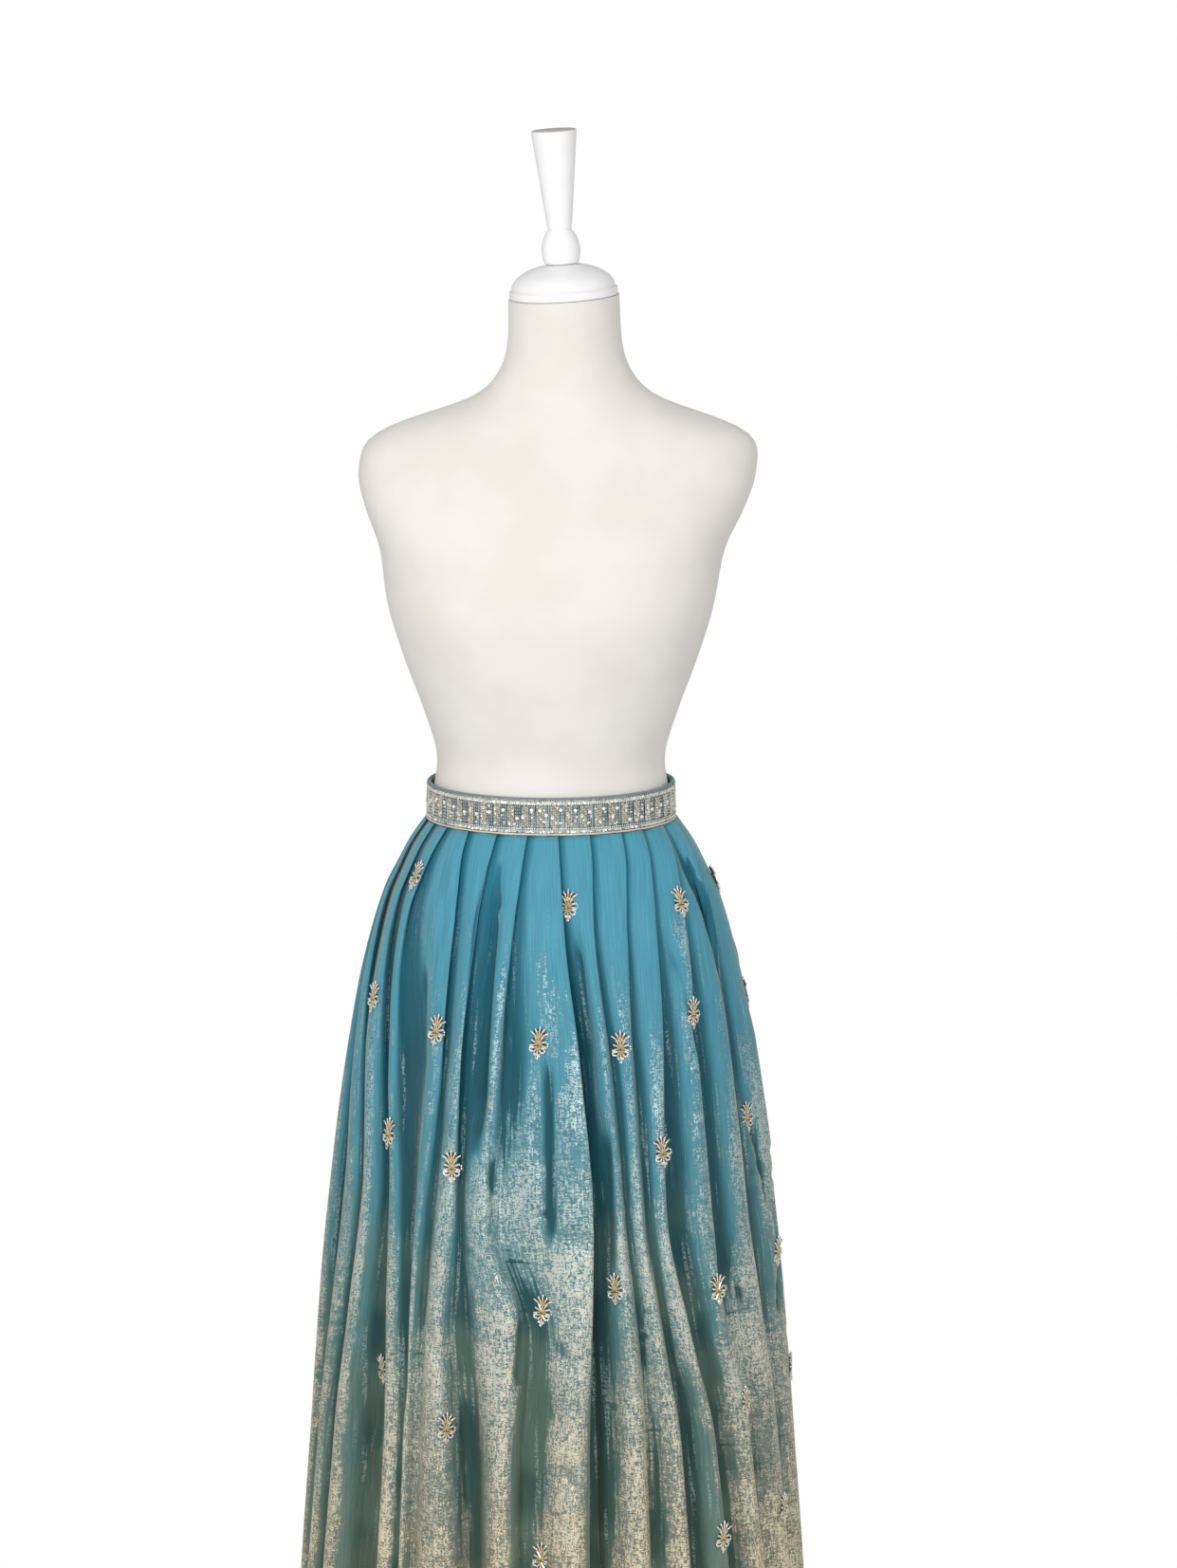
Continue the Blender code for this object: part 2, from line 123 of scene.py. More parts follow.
# Heights at which each fold's edge is placed, from the waistband to the hem
FOLD_LEVELS = (1.019, 0.930, 0.810, 0.660, 0.545, 0.430, 0.014)

# A row is one fold. The edge angles, in degrees, are its right-hand edge at each fold level. Of the
# stretch from the fold before, the ridge takes the share ridge_mid at 0.66 m and ridge_low below.
# Valleys are in front of the ridge, on its left. The pleat stays pressed over the next down to open_z.
Fold = namedtuple("Fold", "edges ridge_mid ridge_low valley_mid valley_low recess open_z lip")
SEEN_FOLDS = (
    Fold((-84.0, -79.0, -72.0, -62.5, -66.1, -70.5, -74.0), 0.60, 0.50, 0.013, 0.023, 0.001, 0.86, 0.006),
    Fold((-68.5, -65.5, -60.0, -53.0, -55.3, -58.2, -60.5), 0.86, 0.80, 0.009, 0.018, 0.000, 0.84, 0.004),
    Fold((-55.5, -57.0, -52.5, -44.5, -42.1, -41.0, -42.0), 0.62, 0.40, 0.018, 0.032, 0.006, 0.88, 0.005),
    Fold((-40.5, -33.5, -32.5, -34.8, -35.6, -36.0, -34.0), 0.42, 0.45, 0.015, 0.012, 0.002, 0.80, 0.004),
    Fold((-25.0, -24.7, -25.6, -25.5, -27.0, -24.5, -18.5), 0.92, 0.86, 0.011, 0.016, 0.000, 0.72, 0.006),
    Fold((-10.5, -12.3, -14.5, -15.4, -6.8, -8.8, -6.5), 0.82, 0.62, 0.011, 0.031, 0.000, 0.86, 0.005),
    Fold((3.5, 4.7, 8.5, 11.0, 10.2, 9.4, 9.0), 0.80, 0.62, 0.015, 0.026, 0.000, 0.50, 0.001),
    Fold((18.0, 14.5, 17.0, 19.0, 21.6, 23.5, 24.5), 0.60, 0.55, 0.026, 0.036, 0.001, 0.88, 0.006),
    Fold((34.0, 26.0, 24.0, 24.5, 28.8, 33.5, 36.5), 0.75, 0.62, 0.007, 0.021, 0.002, 0.87, 0.006),
    Fold((46.5, 37.0, 33.8, 31.5, 36.9, 43.5, 48.5), 0.80, 0.60, 0.007, 0.026, 0.000, 0.78, 0.005),
    Fold((63.5, 50.5, 47.0, 46.5, 50.7, 56.0, 61.5), 0.55, 0.55, 0.020, 0.029, 0.000, 0.84, 0.004),
    Fold((79.0, 69.0, 64.5, 63.0, 66.7, 71.5, 76.5), 0.70, 0.60, 0.015, 0.026, 0.002, 0.88, 0.006),
)
# The back has as many folds again, with the seen folds' shapes in another order
BACK_ORDER = (6, 3, 9, 5, 1, 10, 4, 2, 7, 11, 8, 0)
BACK_SWAY = (0.9, -1.7, 1.4, -0.6, 2.0, -1.2, 0.4, 1.6, -1.9, 0.7, -0.9, 0.2)
FOLD_COUNT = len(SEEN_FOLDS) + len(BACK_ORDER)

State = namedtuple("State", "edge ridge floor crest opened lip")

# The folds that each panel holds, counted from the left side
PANELS = (
    ("skirt_front_left", 0, 7),
    ("skirt_front_right", 7, 12),
    ("skirt_back_right", 12, 18),
    ("skirt_back_left", 18, 24),
)

# Creases of the cloth: a soft trough from one place to another, each an angle and a height. A negative
# depth is a ridge.
Crease = namedtuple("Crease", "angle top_z end_angle end_z half_width depth")
CREASES = (
    Crease(-0.6, 0.830, -0.4, 0.625, 0.0060, 0.0085),
    Crease(-6.5, 0.820, -6.5, 0.640, 0.0120, -0.0030),
    Crease(-15.5, 0.720, -10.5, 0.610, 0.0048, 0.0095),
    Crease(-9.5, 0.640, -6.0, 0.560, 0.0034, 0.0042),
    Crease(-6.0, 0.570, -7.5, 0.500, 0.0060, 0.0080),
    Crease(-19.5, 0.655, 1.5, 0.672, 0.0040, 0.0022),
    Crease(-24.0, 0.628, -2.0, 0.645, 0.0035, 0.0020),
    Crease(2.0, 0.655, 9.5, 0.640, 0.0045, 0.0024),
    Crease(-21.0, 0.540, -11.0, 0.538, 0.0030, 0.0020),
    Crease(1.0, 0.545, 6.5, 0.520, 0.0060, 0.0040),
    Crease(-21.5, 0.962, -18.0, 0.957, 0.0050, 0.0034),
    Crease(-21.0, 0.951, -16.5, 0.944, 0.0040, -0.0022),
    Crease(-21.8, 0.985, -20.0, 0.730, 0.0090, 0.0150),
    Crease(8.5, 0.930, 11.5, 0.800, 0.0050, 0.0050),
    Crease(-45.0, 0.900, -40.0, 0.780, 0.0060, 0.0040),
    Crease(-41.0, 0.600, -37.5, 0.470, 0.0070, 0.0040),
    Crease(-33.0, 0.560, -27.0, 0.520, 0.0060, 0.0036),
    Crease(15.5, 0.760, 15.0, 0.600, 0.0055, 0.0050),
    Crease(13.0, 0.700, 12.5, 0.560, 0.0050, 0.0030),
    Crease(-3.0, 0.480, 4.5, 0.470, 0.0050, 0.0022),
    Crease(2.5, 0.430, 7.5, 0.400, 0.0060, 0.0030),
)
# The same creases and patches come again on the hidden sides: how far round, and how much higher
CREASE_SETS = ((0.0, 0.0), (88.0, 0.020), (167.0, -0.035), (-112.0, 0.030))

# Patches of cloth where the painted gleam of the gold weft shows more, or less, than its folds alone would
# give
Patch = namedtuple("Patch", "angle height half_angle half_height more")
PATCHES = (
    Patch(-10.5, 0.675, 7.0, 0.095, 0.60),
    Patch(-31.5, 0.420, 6.0, 0.120, 0.85),
    Patch(-66.0, 0.400, 5.0, 0.180, 0.40),
    Patch(-24.0, 0.300, 5.0, 0.080, 0.40),
    Patch(-40.0, 0.860, 5.0, 0.090, 0.30),
    Patch(-13.0, 0.850, 2.5, 0.080, 0.35),
    Patch(12.0, 0.800, 5.0, 0.060, 0.25),
    Patch(4.0, 0.840, 3.0, 0.050, -0.30),
    Patch(44.0, 0.360, 7.0, 0.160, -0.30),
    Patch(62.0, 0.240, 6.0, 0.200, -0.35),
)

# Places of the beaded sprigs that show: angle and height
SEEN_SPRIGS = (
    (6.0, 0.960), (-59.5, 0.972), (-64.0, 0.856), (-34.0, 0.840), (-4.0, 0.832), (19.5, 0.828),
    (-51.0, 0.734), (-25.5, 0.710), (31.0, 0.726), (15.5, 0.594), (-2.5, 0.578), (-51.0, 0.492),
    (-24.5, 0.454), (-3.0, 0.334),
)
SPRIG_ROWS = (0.962, 0.842, 0.722, 0.590, 0.470, 0.335, 0.205, 0.085)
SPRIG_PITCH = 0.118        # along a row
ROW_WAVE = 0.008           # how far a row strays from level
SEEN_SPRIG_SLACK = 1.4     # degrees to both sides in which a sprig takes the outermost cloth
HIDDEN_SPRIG_SLACK = 5.0
SEEN_ARC = (-99.0, 38.0)   # where the rows give way to the places that show
SEEN_FOOT = 0.30           # down to this height

# Rings of the padded form: depth to the front and to the back from the axis, the power that squares the
# oval off, and how far to the right its middle stands
Ring = namedtuple("Ring", "height half_width front back squareness centre")
TORSO = (
    Ring(0.800, 0.1560, 0.1080, 0.1140, 2.2, 0.0),
    Ring(0.870, 0.1590, 0.1090, 0.1160, 2.2, 0.0),
    Ring(0.930, 0.1430, 0.1010, 0.1040, 2.2, 0.0),
    Ring(0.972, 0.1250, 0.0955, 0.0955, 2.1, 0.0),
    Ring(0.999, 0.1172, 0.0935, 0.0935, 2.0, 0.0),
    Ring(1.033, 0.1172, 0.0935, 0.0935, 2.0, 0.0),
    Ring(1.075, 0.1110, 0.0880, 0.0870, 2.03, 0.0),
    Ring(1.125, 0.1240, 0.0960, 0.0890, 2.2, 0.0),
    Ring(1.180, 0.1440, 0.1110, 0.0950, 2.3, 0.0),
    Ring(1.235, 0.1600, 0.1230, 0.1020, 2.35, 0.0),
    Ring(1.285, 0.1675, 0.1170, 0.1070, 2.4, 0.0015),
    Ring(1.325, 0.1840, 0.1030, 0.1090, 2.4, 0.0040),
    Ring(1.360, 0.1935, 0.0890, 0.1040, 2.3, 0.0062),
    Ring(1.385, 0.1925, 0.0770, 0.0960, 2.2, 0.0095),
    Ring(1.398, 0.1830, 0.0700, 0.0905, 2.15, 0.0115),
    Ring(1.408, 0.1600, 0.0655, 0.0865, 2.1, 0.0130),
    Ring(1.417, 0.1350, 0.0620, 0.0815, 2.07, 0.0140),
    Ring(1.426, 0.0985, 0.0590, 0.0765, 2.03, 0.0146),
    Ring(1.436, 0.0825, 0.0560, 0.0705, 2.0, 0.0146),
    Ring(1.445, 0.0730, 0.0545, 0.0655, 2.0, 0.0144),
    Ring(1.454, 0.0660, 0.0535, 0.0615, 2.0, 0.0143),
    Ring(1.475, 0.0570, 0.0535, 0.0570, 2.0, 0.0141),
    Ring(1.500, 0.0543, 0.0535, 0.0545, 2.0, 0.0135),
    Ring(NECK_TOP_Z, NECK_RADIUS, 0.0538, 0.0538, 2.0, NECK_CENTRE),
)
TORSO_SIDES = 96
TORSO_RINGS = 110
TORSO_SMOOTHINGS = 3
DEPTH_CHANGE = 2.5         # how fast the front's depth gives way to the back's round the sides
TURNED_SIDES = 96


# Shape helpers

def blend(low, high, share):
    return low + (high - low) * share


def ease(share):
    """A share held between 0 and 1, with smooth ends. It takes a number or an array."""
    share = np.clip(share, 0.0, 1.0)
    return share * share * (3 - 2 * share)


def smooth_step(values, low, high):
    return ease((values - low) / (high - low))


def smooth_read(heights, values, at):
    """Reads a value at a height from a table, along a smooth curve that never overshoots."""
    if heights[0] > heights[-1]:
        heights = heights[::-1]
        values = values[::-1]
    at = min(heights[-1], max(heights[0], at))
    slopes = [(values[i + 1] - values[i]) / (heights[i + 1] - heights[i]) for i in range(len(heights) - 1)]
    tangents = [slopes[0]]
    for before, after in zip(slopes, slopes[1:]):
        tangents.append(0.0 if before * after <= 0 else 2 * before * after / (before + after))
    tangents.append(slopes[-1])
    i = max(j for j in range(len(slopes)) if heights[j] <= at)
    span = heights[i + 1] - heights[i]
    t = (at - heights[i]) / span
    return (
        (2 * t**3 - 3 * t**2 + 1) * values[i]
        + (t**3 - 2 * t**2 + t) * span * tangents[i]
        + (3 * t**2 - 2 * t**3) * values[i + 1]
        + (t**3 - t**2) * span * tangents[i + 1]
    )


def outline_at(height):
    """Half width and half depth of the skirt over its outermost folds."""
    heights, widths, shares = zip(*OUTLINE)
    width = smooth_read(heights, widths, height)
    return width, width * smooth_read(heights, shares, height)


def all_folds():
    """The seen folds, then those round the back, spread between the last seen fold and the first."""
    folds = list(SEEN_FOLDS)
    last, first = SEEN_FOLDS[-1], SEEN_FOLDS[0]
    steps = len(BACK_ORDER) + 1
    for number, (like, sway) in enumerate(zip(BACK_ORDER, BACK_SWAY), start=1):
        edges = []
        for level in range(len(FOLD_LEVELS)):
            even = blend(last.edges[level], first.edges[level] + 360, number / steps)
            edges.append(even + sway * level / 2)
        folds.append(SEEN_FOLDS[like]._replace(edges=tuple(edges)))
    return folds


def fold_state(fold, height):
    """What one fold is like at a height."""
    down = ease((GROWTH_TOP - height) / GROWTH_SPAN)
    low = ease((LOW_TOP - height) / LOW_SPAN)
    opened = ease((fold.open_z + OPENING_SPAN / 2 - height) / OPENING_SPAN)
    edge = smooth_read(FOLD_LEVELS, fold.edges, height)
    ridge = blend(blend(PRESSED_RIDGE, fold.ridge_mid, down), fold.ridge_low, low)
    valley = blend(fold.valley_mid, fold.valley_low, low)
    floor = WALL / 2 + blend(2 * LAYER_STEP, max(valley, 2 * LAYER_STEP), down)
    crest = WALL / 2 + fold.recess * down
    return State(edge, ridge, floor, crest, opened, fold.lip)


def section(folds, height):
    """One ring through all the folds: for each fold, eight points of the cloth's middle line."""
    half_width, half_depth = outline_at(height)
    bend = LAYER_STEP / 2

    def pace(angle):
        return hypot(half_width * cos(angle), half_depth * sin(angle))

    def place(edge, along, inward):
        """A point beside a fold's edge: so far along the outline, and so far in from it."""
        angle = radians(edge)
        angle += along / pace(angle)
        across = half_depth * sin(angle)
        forward = half_width * cos(angle)
        length = hypot(across, forward)
        return (
            half_width * sin(angle) - inward * across / length,
            -half_depth * cos(angle) + inward * forward / length,
            height,
        )

    states = [fold_state(fold, height) for fold in folds]
    floors = []
    for number, state in enumerate(states):
        crests = max(state.crest, states[number - 1].crest)
        least = blend(2 * LAYER_STEP, LEAST_VALLEY, ease((GROWTH_TOP - height) / VALLEY_SPAN))
        floors.append(max(state.floor, crests + least))
    starts = [state.edge for state in states[-1:] + states[:-1]]
    starts[0] -= 360
    pitches = [
        radians(state.edge - start) * pace(radians(state.edge + start) / 2)
        for state, start in zip(states, starts)
    ]
    laps = []
    for number, state in enumerate(states):
        following = pitches[(number + 1) % len(states)]
        overlap = min(PLEAT_OVERLAP, OVERLAP_SHARE * following, OVERLAP_SHARE * pitches[number] * state.ridge)
        lip = min(state.lip, LIP_SHARE * following)
        laps.append((overlap, lip))

    rows = []
    for number, state in enumerate(states):
        before = states[number - 1]
        lap_before, lip_before = laps[number - 1]
        overlap, lip = laps[number]
        opened = state.opened
        valley_start = blend(-lap_before - 0.2 * bend, lip_before + VALLEY_START, before.opened)
        width = min(pitches[number] * state.ridge, pitches[number] - max(0.0, valley_start) - LEAST_FLOOR)
        crest = state.crest
        depth = floors[number] - crest
        side = floors[(number + 1) % len(states)] - crest
        flank = (
            (-width, floors[number] - 0.06 * depth),
            (-width * blend(0.72, 0.78, opened), crest + depth * blend(0.62, 0.38, opened)),
            (-width * 0.44, crest + blend(min(0.2 * depth, 0.9 * bend), 0.0, opened)),
            (-blend(bend, 0.14 * width, opened), crest + 0.05 * depth * opened),
            (0.0, crest + blend(bend, 0.40 * side, opened)),
            (blend(-bend, 0.45 * lip, opened), crest + blend(2 * bend, 0.72 * side, opened)),
            (
                blend(-overlap - bend, 0.85 * lip, opened),
                crest + side - blend(bend, 0.08 * side, opened),
            ),
        )
        row = [place(starts[number], valley_start, floors[number])]
        row += [place(state.edge, along, inward) for along, inward in flank]
        rows.append(row)
    return rows


# The skirt's cloth as a grid of points, one row for each height

# Where the smooth line through a fold's eight points is sampled, closer together round its edge
FOLD_SAMPLES = (
    0.0, 0.5, 1.0, 1.35, 1.7, 2.0, 2.33, 2.67, 3.0, 3.33, 3.67, 4.0, 4.25, 4.5, 4.75, 5.0, 5.25, 5.5, 5.75,
    6.0, 6.33, 6.67, 7.0, 7.35, 7.7,
)
SEAM_COLUMN = 1            # the sample halfway along a valley floor
# How far up the fold each of the eight points is, from the valley to the crest
POINT_RISE = (0.0, 0.05, 0.55, 1.0, 1.0, 0.62, 0.28, 0.06)


def spline_matrix():
    """Weights that turn the control points of a ring into points on a smooth closed line."""
    per_fold = len(POINT_RISE)
    points = FOLD_COUNT * per_fold
    spots = [fold * per_fold + sample for fold in range(FOLD_COUNT) for sample in FOLD_SAMPLES]
    weights = np.zeros((len(spots), points))
    for row, spot in enumerate(spots):
        first = int(spot)
        t = spot - first
        shares = (
            (1 - t) ** 3 / 6,
            (3 * t**3 - 6 * t**2 + 4) / 6,
            (-3 * t**3 + 3 * t**2 + 3 * t + 1) / 6,
            t**3 / 6,
        )
        for offset, share in enumerate(shares, start=-1):
            weights[row, (first + offset) % points] += share
    return weights


def ring_heights():
    """Heights from the waistband down to the hem, closer together near the band."""
    shares = np.linspace(0.0, 1.0, RING_COUNT)
    return CLOTH_TOP - (CLOTH_TOP - HEM_Z) * blend(shares**2, shares, RING_EVENNESS)


def unit(vectors):
    return vectors / np.maximum(np.linalg.norm(vectors, axis=2, keepdims=True), 1e-9)


def step_lengths(points, axis):
    """Lengths of the steps from point to point along one axis of a grid."""
    return np.linalg.norm(np.diff(points, axis=axis), axis=2)


def grid_normals(points):
    """Outward normals of the closed grid."""
    along = np.roll(points, -1, axis=1) - np.roll(points, 1, axis=1)
    return unit(np.cross(np.gradient(points, axis=0), along))


def wrapped(angles):
    """Angles in degrees, brought within half a turn of 0."""
    return (angles + 180) % 360 - 180


# Unevenness of the cloth: size of its patches across and upright, random seed, octaves and strength
Unevenness = namedtuple("Unevenness", "across upright seed octaves strength")
SWELLS = Unevenness(0.055, 0.20, 1, 1, 0.0030)
RIPPLES = Unevenness(0.016, 0.075, 2, 1, 0.0010)
CRUMPLES = Unevenness(0.030, 0.016, 3, 3, 0.0009)
CRUMPLED_PLACES = Unevenness(0.07, 0.07, 4, 1, 1.0)
# These two vary the painted gleam of the weft, not the cloth's shape
GLEAM_PATCHES = Unevenness(0.035, 0.10, 5, 2, 0.16)
GLEAM_STREAKS = Unevenness(0.009, 0.16, 6, 1, 0.10)
SEED_STEP = 7.31           # how far apart in the noise two seeds lie
OCTAVE_FADE = 0.6          # how much weaker and how much finer each next octave is
OCTAVE_RATIO = 2.1


def noise_field(points, kind):
    """Noise at each point of the cloth."""
    sizes = np.array((kind.across, kind.across, kind.upright))
    flat = (points.reshape(-1, 3) / sizes + kind.seed * SEED_STEP).tolist()
    if kind.octaves == 1:
        values = [noise.noise(point) for point in flat]
    else:
        values = [noise.fractal(point, OCTAVE_FADE, OCTAVE_RATIO, kind.octaves) for point in flat]
    return np.array(values).reshape(points.shape[:2]) * kind.strength


def patch_gleam(angles, z):
    """How much the patches add to the painted gleam of the weft."""
    more = np.zeros(angles.shape)
    for turn, lift in CREASE_SETS:
        for patch in PATCHES:
            across = wrapped(angles - patch.angle - turn) / patch.half_angle
            upright = (z - patch.height - lift) / patch.half_height
            more += patch.more * np.exp(-(across**2 + upright**2))
    return more


CREASE_ENDS = 0.25         # how deep a crease still is at its ends
CREASE_TAPER = 0.45        # how much of its half length it takes to reach its depth
CREASED_RISE = (0.10, 0.60)  # creases fade out down a fold's flank, between these rises


def crease_depths(points, angles, widths, rise):
    """Depth of the listed creases at each point of the cloth."""
    depths = np.zeros(angles.shape)
    pace = np.radians(1.0) * widths
    for turn, lift in CREASE_SETS:
        for crease in CREASES:
            middle = (crease.angle + crease.end_angle) / 2 + turn
            start = (crease.angle - crease.end_angle) / 2 * pace
            x = wrapped(angles - middle) * pace - start
            z = points[..., 2] - lift - crease.top_z
            run_x = -2 * start
            run_z = crease.end_z - crease.top_z
            share = np.clip((x * run_x + z * run_z) / (run_x**2 + run_z**2), 0.0, 1.0)
            gap = np.hypot(x - share * run_x, z - share * run_z)
            taper = smooth_step(1 - np.abs(2 * share - 1), 0.0, CREASE_TAPER)
            trough = np.exp(-((gap / crease.half_width) ** 2))
            depths += crease.depth * trough * blend(CREASE_ENDS, 1.0, taper)
    return depths * smooth_step(rise, *CREASED_RISE)


# What the mesh keeps for its material: how far up a fold a point is, lowered in the creases, which sets the
# painted shade of valleys and creases; how strongly the painted gleam of its gold weft shows; how far round
# it is in metres; and how near it is to the painted highlight along a fold's edge
CLOTH_FIELDS = ("rise", "gleam", "around", "hairline")
Cloth = namedtuple("Cloth", ("points", "normals", "angles", *CLOTH_FIELDS))

# How far the cloth has to face outward, and how high it has to lie on a fold, for the painted gleam of its
# gold weft to show
GLEAM_HEIGHTS = (0.30, 0.46, 0.58, 0.68, 0.76, 0.86, 0.95, 1.02)
LEAST_FACING = (0.52, 0.56, 0.58, 0.64, 0.76, 0.91, 1.06, 1.40)
LEAST_RISE = (0.34, 0.38, 0.40, 0.48, 0.62, 0.84, 1.08, 1.50)
RISE_WEIGHT = 0.8          # of the rise against the facing
# How much less of the weft's painted gleam shows on some of the folds, counted from the left side, and
# between which heights that sets in
FOLD_DULLNESS = (0.40, 0.0, 0.12, 0.35, 0.0, 0.0, 0.0, 0.05, 0.0, 0.10, 0.0, 0.12)
DULL_ABOVE = (0.48, 0.66)

FREE_OF_BAND = (0.955, 0.80)  # heights over which the cloth gets free to swell
HELD_SWELL = 0.12          # what the band leaves of the unevenness
VALLEY_SWELL = 0.35        # what a valley leaves of it
CREST_LIMIT = 1.2          # the rise at which it would be gone; a crest's is 1
# Between which values of their noise the crumpled places set in
CRUMPLED = (-0.15, 0.35)
CREASE_SHADE_DEPTH = 0.008      # a crease this deep gets a valley's painted shade, and no more painted gleam than a valley
EDGE_HIGHLIGHT_POINT = 4.2       # the place of the painted highlight along a fold's edge, counted in the fold's points
EDGE_HIGHLIGHT_SPREAD = 0.30


def make_cloth():
    """The whole skirt: points, normals, and how strongly the painted gleam of its gold weft shows at each
    point.
    """
    folds = all_folds()
    heights = ring_heights()
    weights = spline_matrix()
    points = np.array([weights @ np.array(section(folds, z)).reshape(-1, 3) for z in heights])
    rise = np.tile(weights @ np.tile(POINT_RISE, FOLD_COUNT), (RING_COUNT, 1))
    widths, depths = np.array([outline_at(z) for z in heights]).T[..., None]
    angles = np.degrees(np.arctan2(points[..., 0] / widths, -points[..., 1] / depths))

    lightly = blend(HELD_SWELL, 1.0, smooth_step(points[..., 2], *FREE_OF_BAND))
    crumples = noise_field(points, CRUMPLES) * smooth_step(noise_field(points, CRUMPLED_PLACES), *CRUMPLED)
    out = noise_field(points, SWELLS) + noise_field(points, RIPPLES) + crumples
    out *= lightly * blend(VALLEY_SWELL, 1.0, rise) * smooth_step(rise, CREST_LIMIT, 0.0)
    dents = crease_depths(points, angles, widths, rise)
    points += grid_normals(points) * (out - dents)[..., None]
    points[..., 2] = np.maximum(points[..., 2], HEM_Z)

    normals = grid_normals(points)
    radial = np.stack((points[..., 0] / widths**2, points[..., 1] / depths**2, 0 * angles), axis=2)
    facing = np.sum(normals * unit(radial), axis=2)
    z = points[..., 2]
    # Creases are lowered in rise, so they take the painted shade of the valleys and lose painted gleam
    rise -= dents / CREASE_SHADE_DEPTH
    # The painted gleam: the gold weft is painted pale where the cloth faces outward and lies high on a fold,
    # more of it lower down
    least_rise = np.interp(z, GLEAM_HEIGHTS, LEAST_RISE)
    gleam = np.minimum(facing - np.interp(z, GLEAM_HEIGHTS, LEAST_FACING), (rise - least_rise) * RISE_WEIGHT)
    gleam += noise_field(points, GLEAM_PATCHES) + noise_field(points, GLEAM_STREAKS) + patch_gleam(angles, z)
    gleam -= np.repeat(np.tile(FOLD_DULLNESS, 2), len(FOLD_SAMPLES)) * smooth_step(z, *DULL_ABOVE)

    around = np.cumsum(np.append(0.0, step_lengths(points, 1).mean(axis=0)))
    # A painted highlight along each fold's outer edge
    from_edge = (np.tile(FOLD_SAMPLES, FOLD_COUNT) - EDGE_HIGHLIGHT_POINT) / EDGE_HIGHLIGHT_SPREAD
    around, hairline = (np.tile(row, (RING_COUNT, 1)) for row in (around, np.exp(-(from_edge**2))))
    return Cloth(points, normals, angles, rise, gleam, around, hairline)


# Mesh helpers

def store(mesh, name, values):
    attribute = mesh.attributes.new(name, "FLOAT", "POINT")
    attribute.data.foreach_set("value", np.asarray(values, dtype=np.float32).ravel())


def new_object(name, data, materials=()):
    made = bpy.data.objects.new(name, data)
    for material in materials:
        data.materials.append(material)
    bpy.context.scene.collection.objects.link(made)
    return made


def add_piece(name, mesh, material):
    """A piece that rides on the part's one body."""
    made = new_object(name, mesh, [material])
    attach(made, "root")
    return made


def grid_mesh(name, points, closed=False):
    """A mesh of quads over a grid of points, whose rows run round and whose columns run down."""
    rows, columns = points.shape[:2]
    mesh = bpy.data.meshes.new(name)
    faces = [
        (r * columns + c, (r + 1) * columns + c, (r + 1) * columns + (c + 1) % columns,
         r * columns + (c + 1) % columns)
        for r in range(rows - 1) for c in range(columns if closed else columns - 1)
    ]
    mesh.from_pydata(points.reshape(-1, 3).tolist(), [], faces)
    mesh.shade_smooth()
    return mesh


def add_capped(name, points, material, sharp):
    """A closed piece from rings of points. Its edges stay crisp where they bend by so many degrees."""
    rings, sides = points.shape[:2]
    mesh = grid_mesh(name, points, closed=True)
    bm = bmesh.new()
    bm.from_mesh(mesh)
    bm.verts.ensure_lookup_table()
    for first in (0, (rings - 1) * sides):
        bm.faces.new([bm.verts[first + i] for i in range(sides)])
    bmesh.ops.recalc_face_normals(bm, faces=bm.faces)
    bm.to_mesh(mesh)
    bm.free()
    mesh.shade_smooth()
    mesh.set_sharp_from_angle(angle=radians(sharp))
    return add_piece(name, mesh, material)


def add_panel(name, cloth, start, end, material):
    """One of the four cloth panels, from its left seam to its right seam."""
    first, last = (fold * len(FOLD_SAMPLES) + SEAM_COLUMN for fold in (start, end))
    columns = np.arange(first, last + 1) % cloth.points.shape[1]
    points = cloth.points[:, columns]
    for edge, beside in ((0, 1), (-1, -2)):
        step = points[:, beside] - points[:, edge]
        points[:, edge] += step / np.linalg.norm(step, axis=1, keepdims=True) * SEAM_GAP / 2
    mesh = grid_mesh(name, points)
    for field in CLOTH_FIELDS:
        store(mesh, field, getattr(cloth, field)[:, columns])
    panel = add_piece(name, mesh, material)
    wall = panel.modifiers.new("cloth wall", "SOLIDIFY")
    wall.thickness = CLOTH_THICKNESS
    wall.offset = 0.0
    wall.use_even_offset = False
    width, length = (
        round(float(step_lengths(points, axis).sum(axis=axis).max()) + SEWING_ALLOWANCE, 2) for axis in (1, 0)
    )
    return panel


# Materials

def srgb(code):
    """Linear colour from a hex code."""
    channels = [int(code[i:i + 2], 16) / 255 for i in (1, 3, 5)]
    linear = [c / 12.92 if c <= 0.04045 else ((c + 0.055) / 1.055) ** 2.4 for c in channels]
    return (*linear, 1.0)


def connect(node, inputs):
    """Sets a node's inputs, or links them where an output is given. They go by name or in order."""
    pairs = inputs.items() if isinstance(inputs, dict) else enumerate(inputs)
    for name, value in pairs:
        if isinstance(value, bpy.types.NodeSocket):
            node.id_data.links.new(value, node.inputs[name])
        else:
            node.inputs[name].default_value = value


def add_node(tree, kind, inputs=(), output=0, stops=(), **settings):
    """Adds a shader node with its settings, colour stops and inputs, and returns one of its outputs."""
    made = tree.nodes.new("ShaderNode" + kind)
    for name, value in settings.items():
        setattr(made, name, value)
    if stops:
        elements = made.color_ramp.elements
        while len(elements) < len(stops):
            elements.new(0.5)
        for element, (position, colour) in zip(elements, stops):
            element.position = position
            element.color = srgb(colour)
    connect(made, inputs)
    return made.outputs[output]


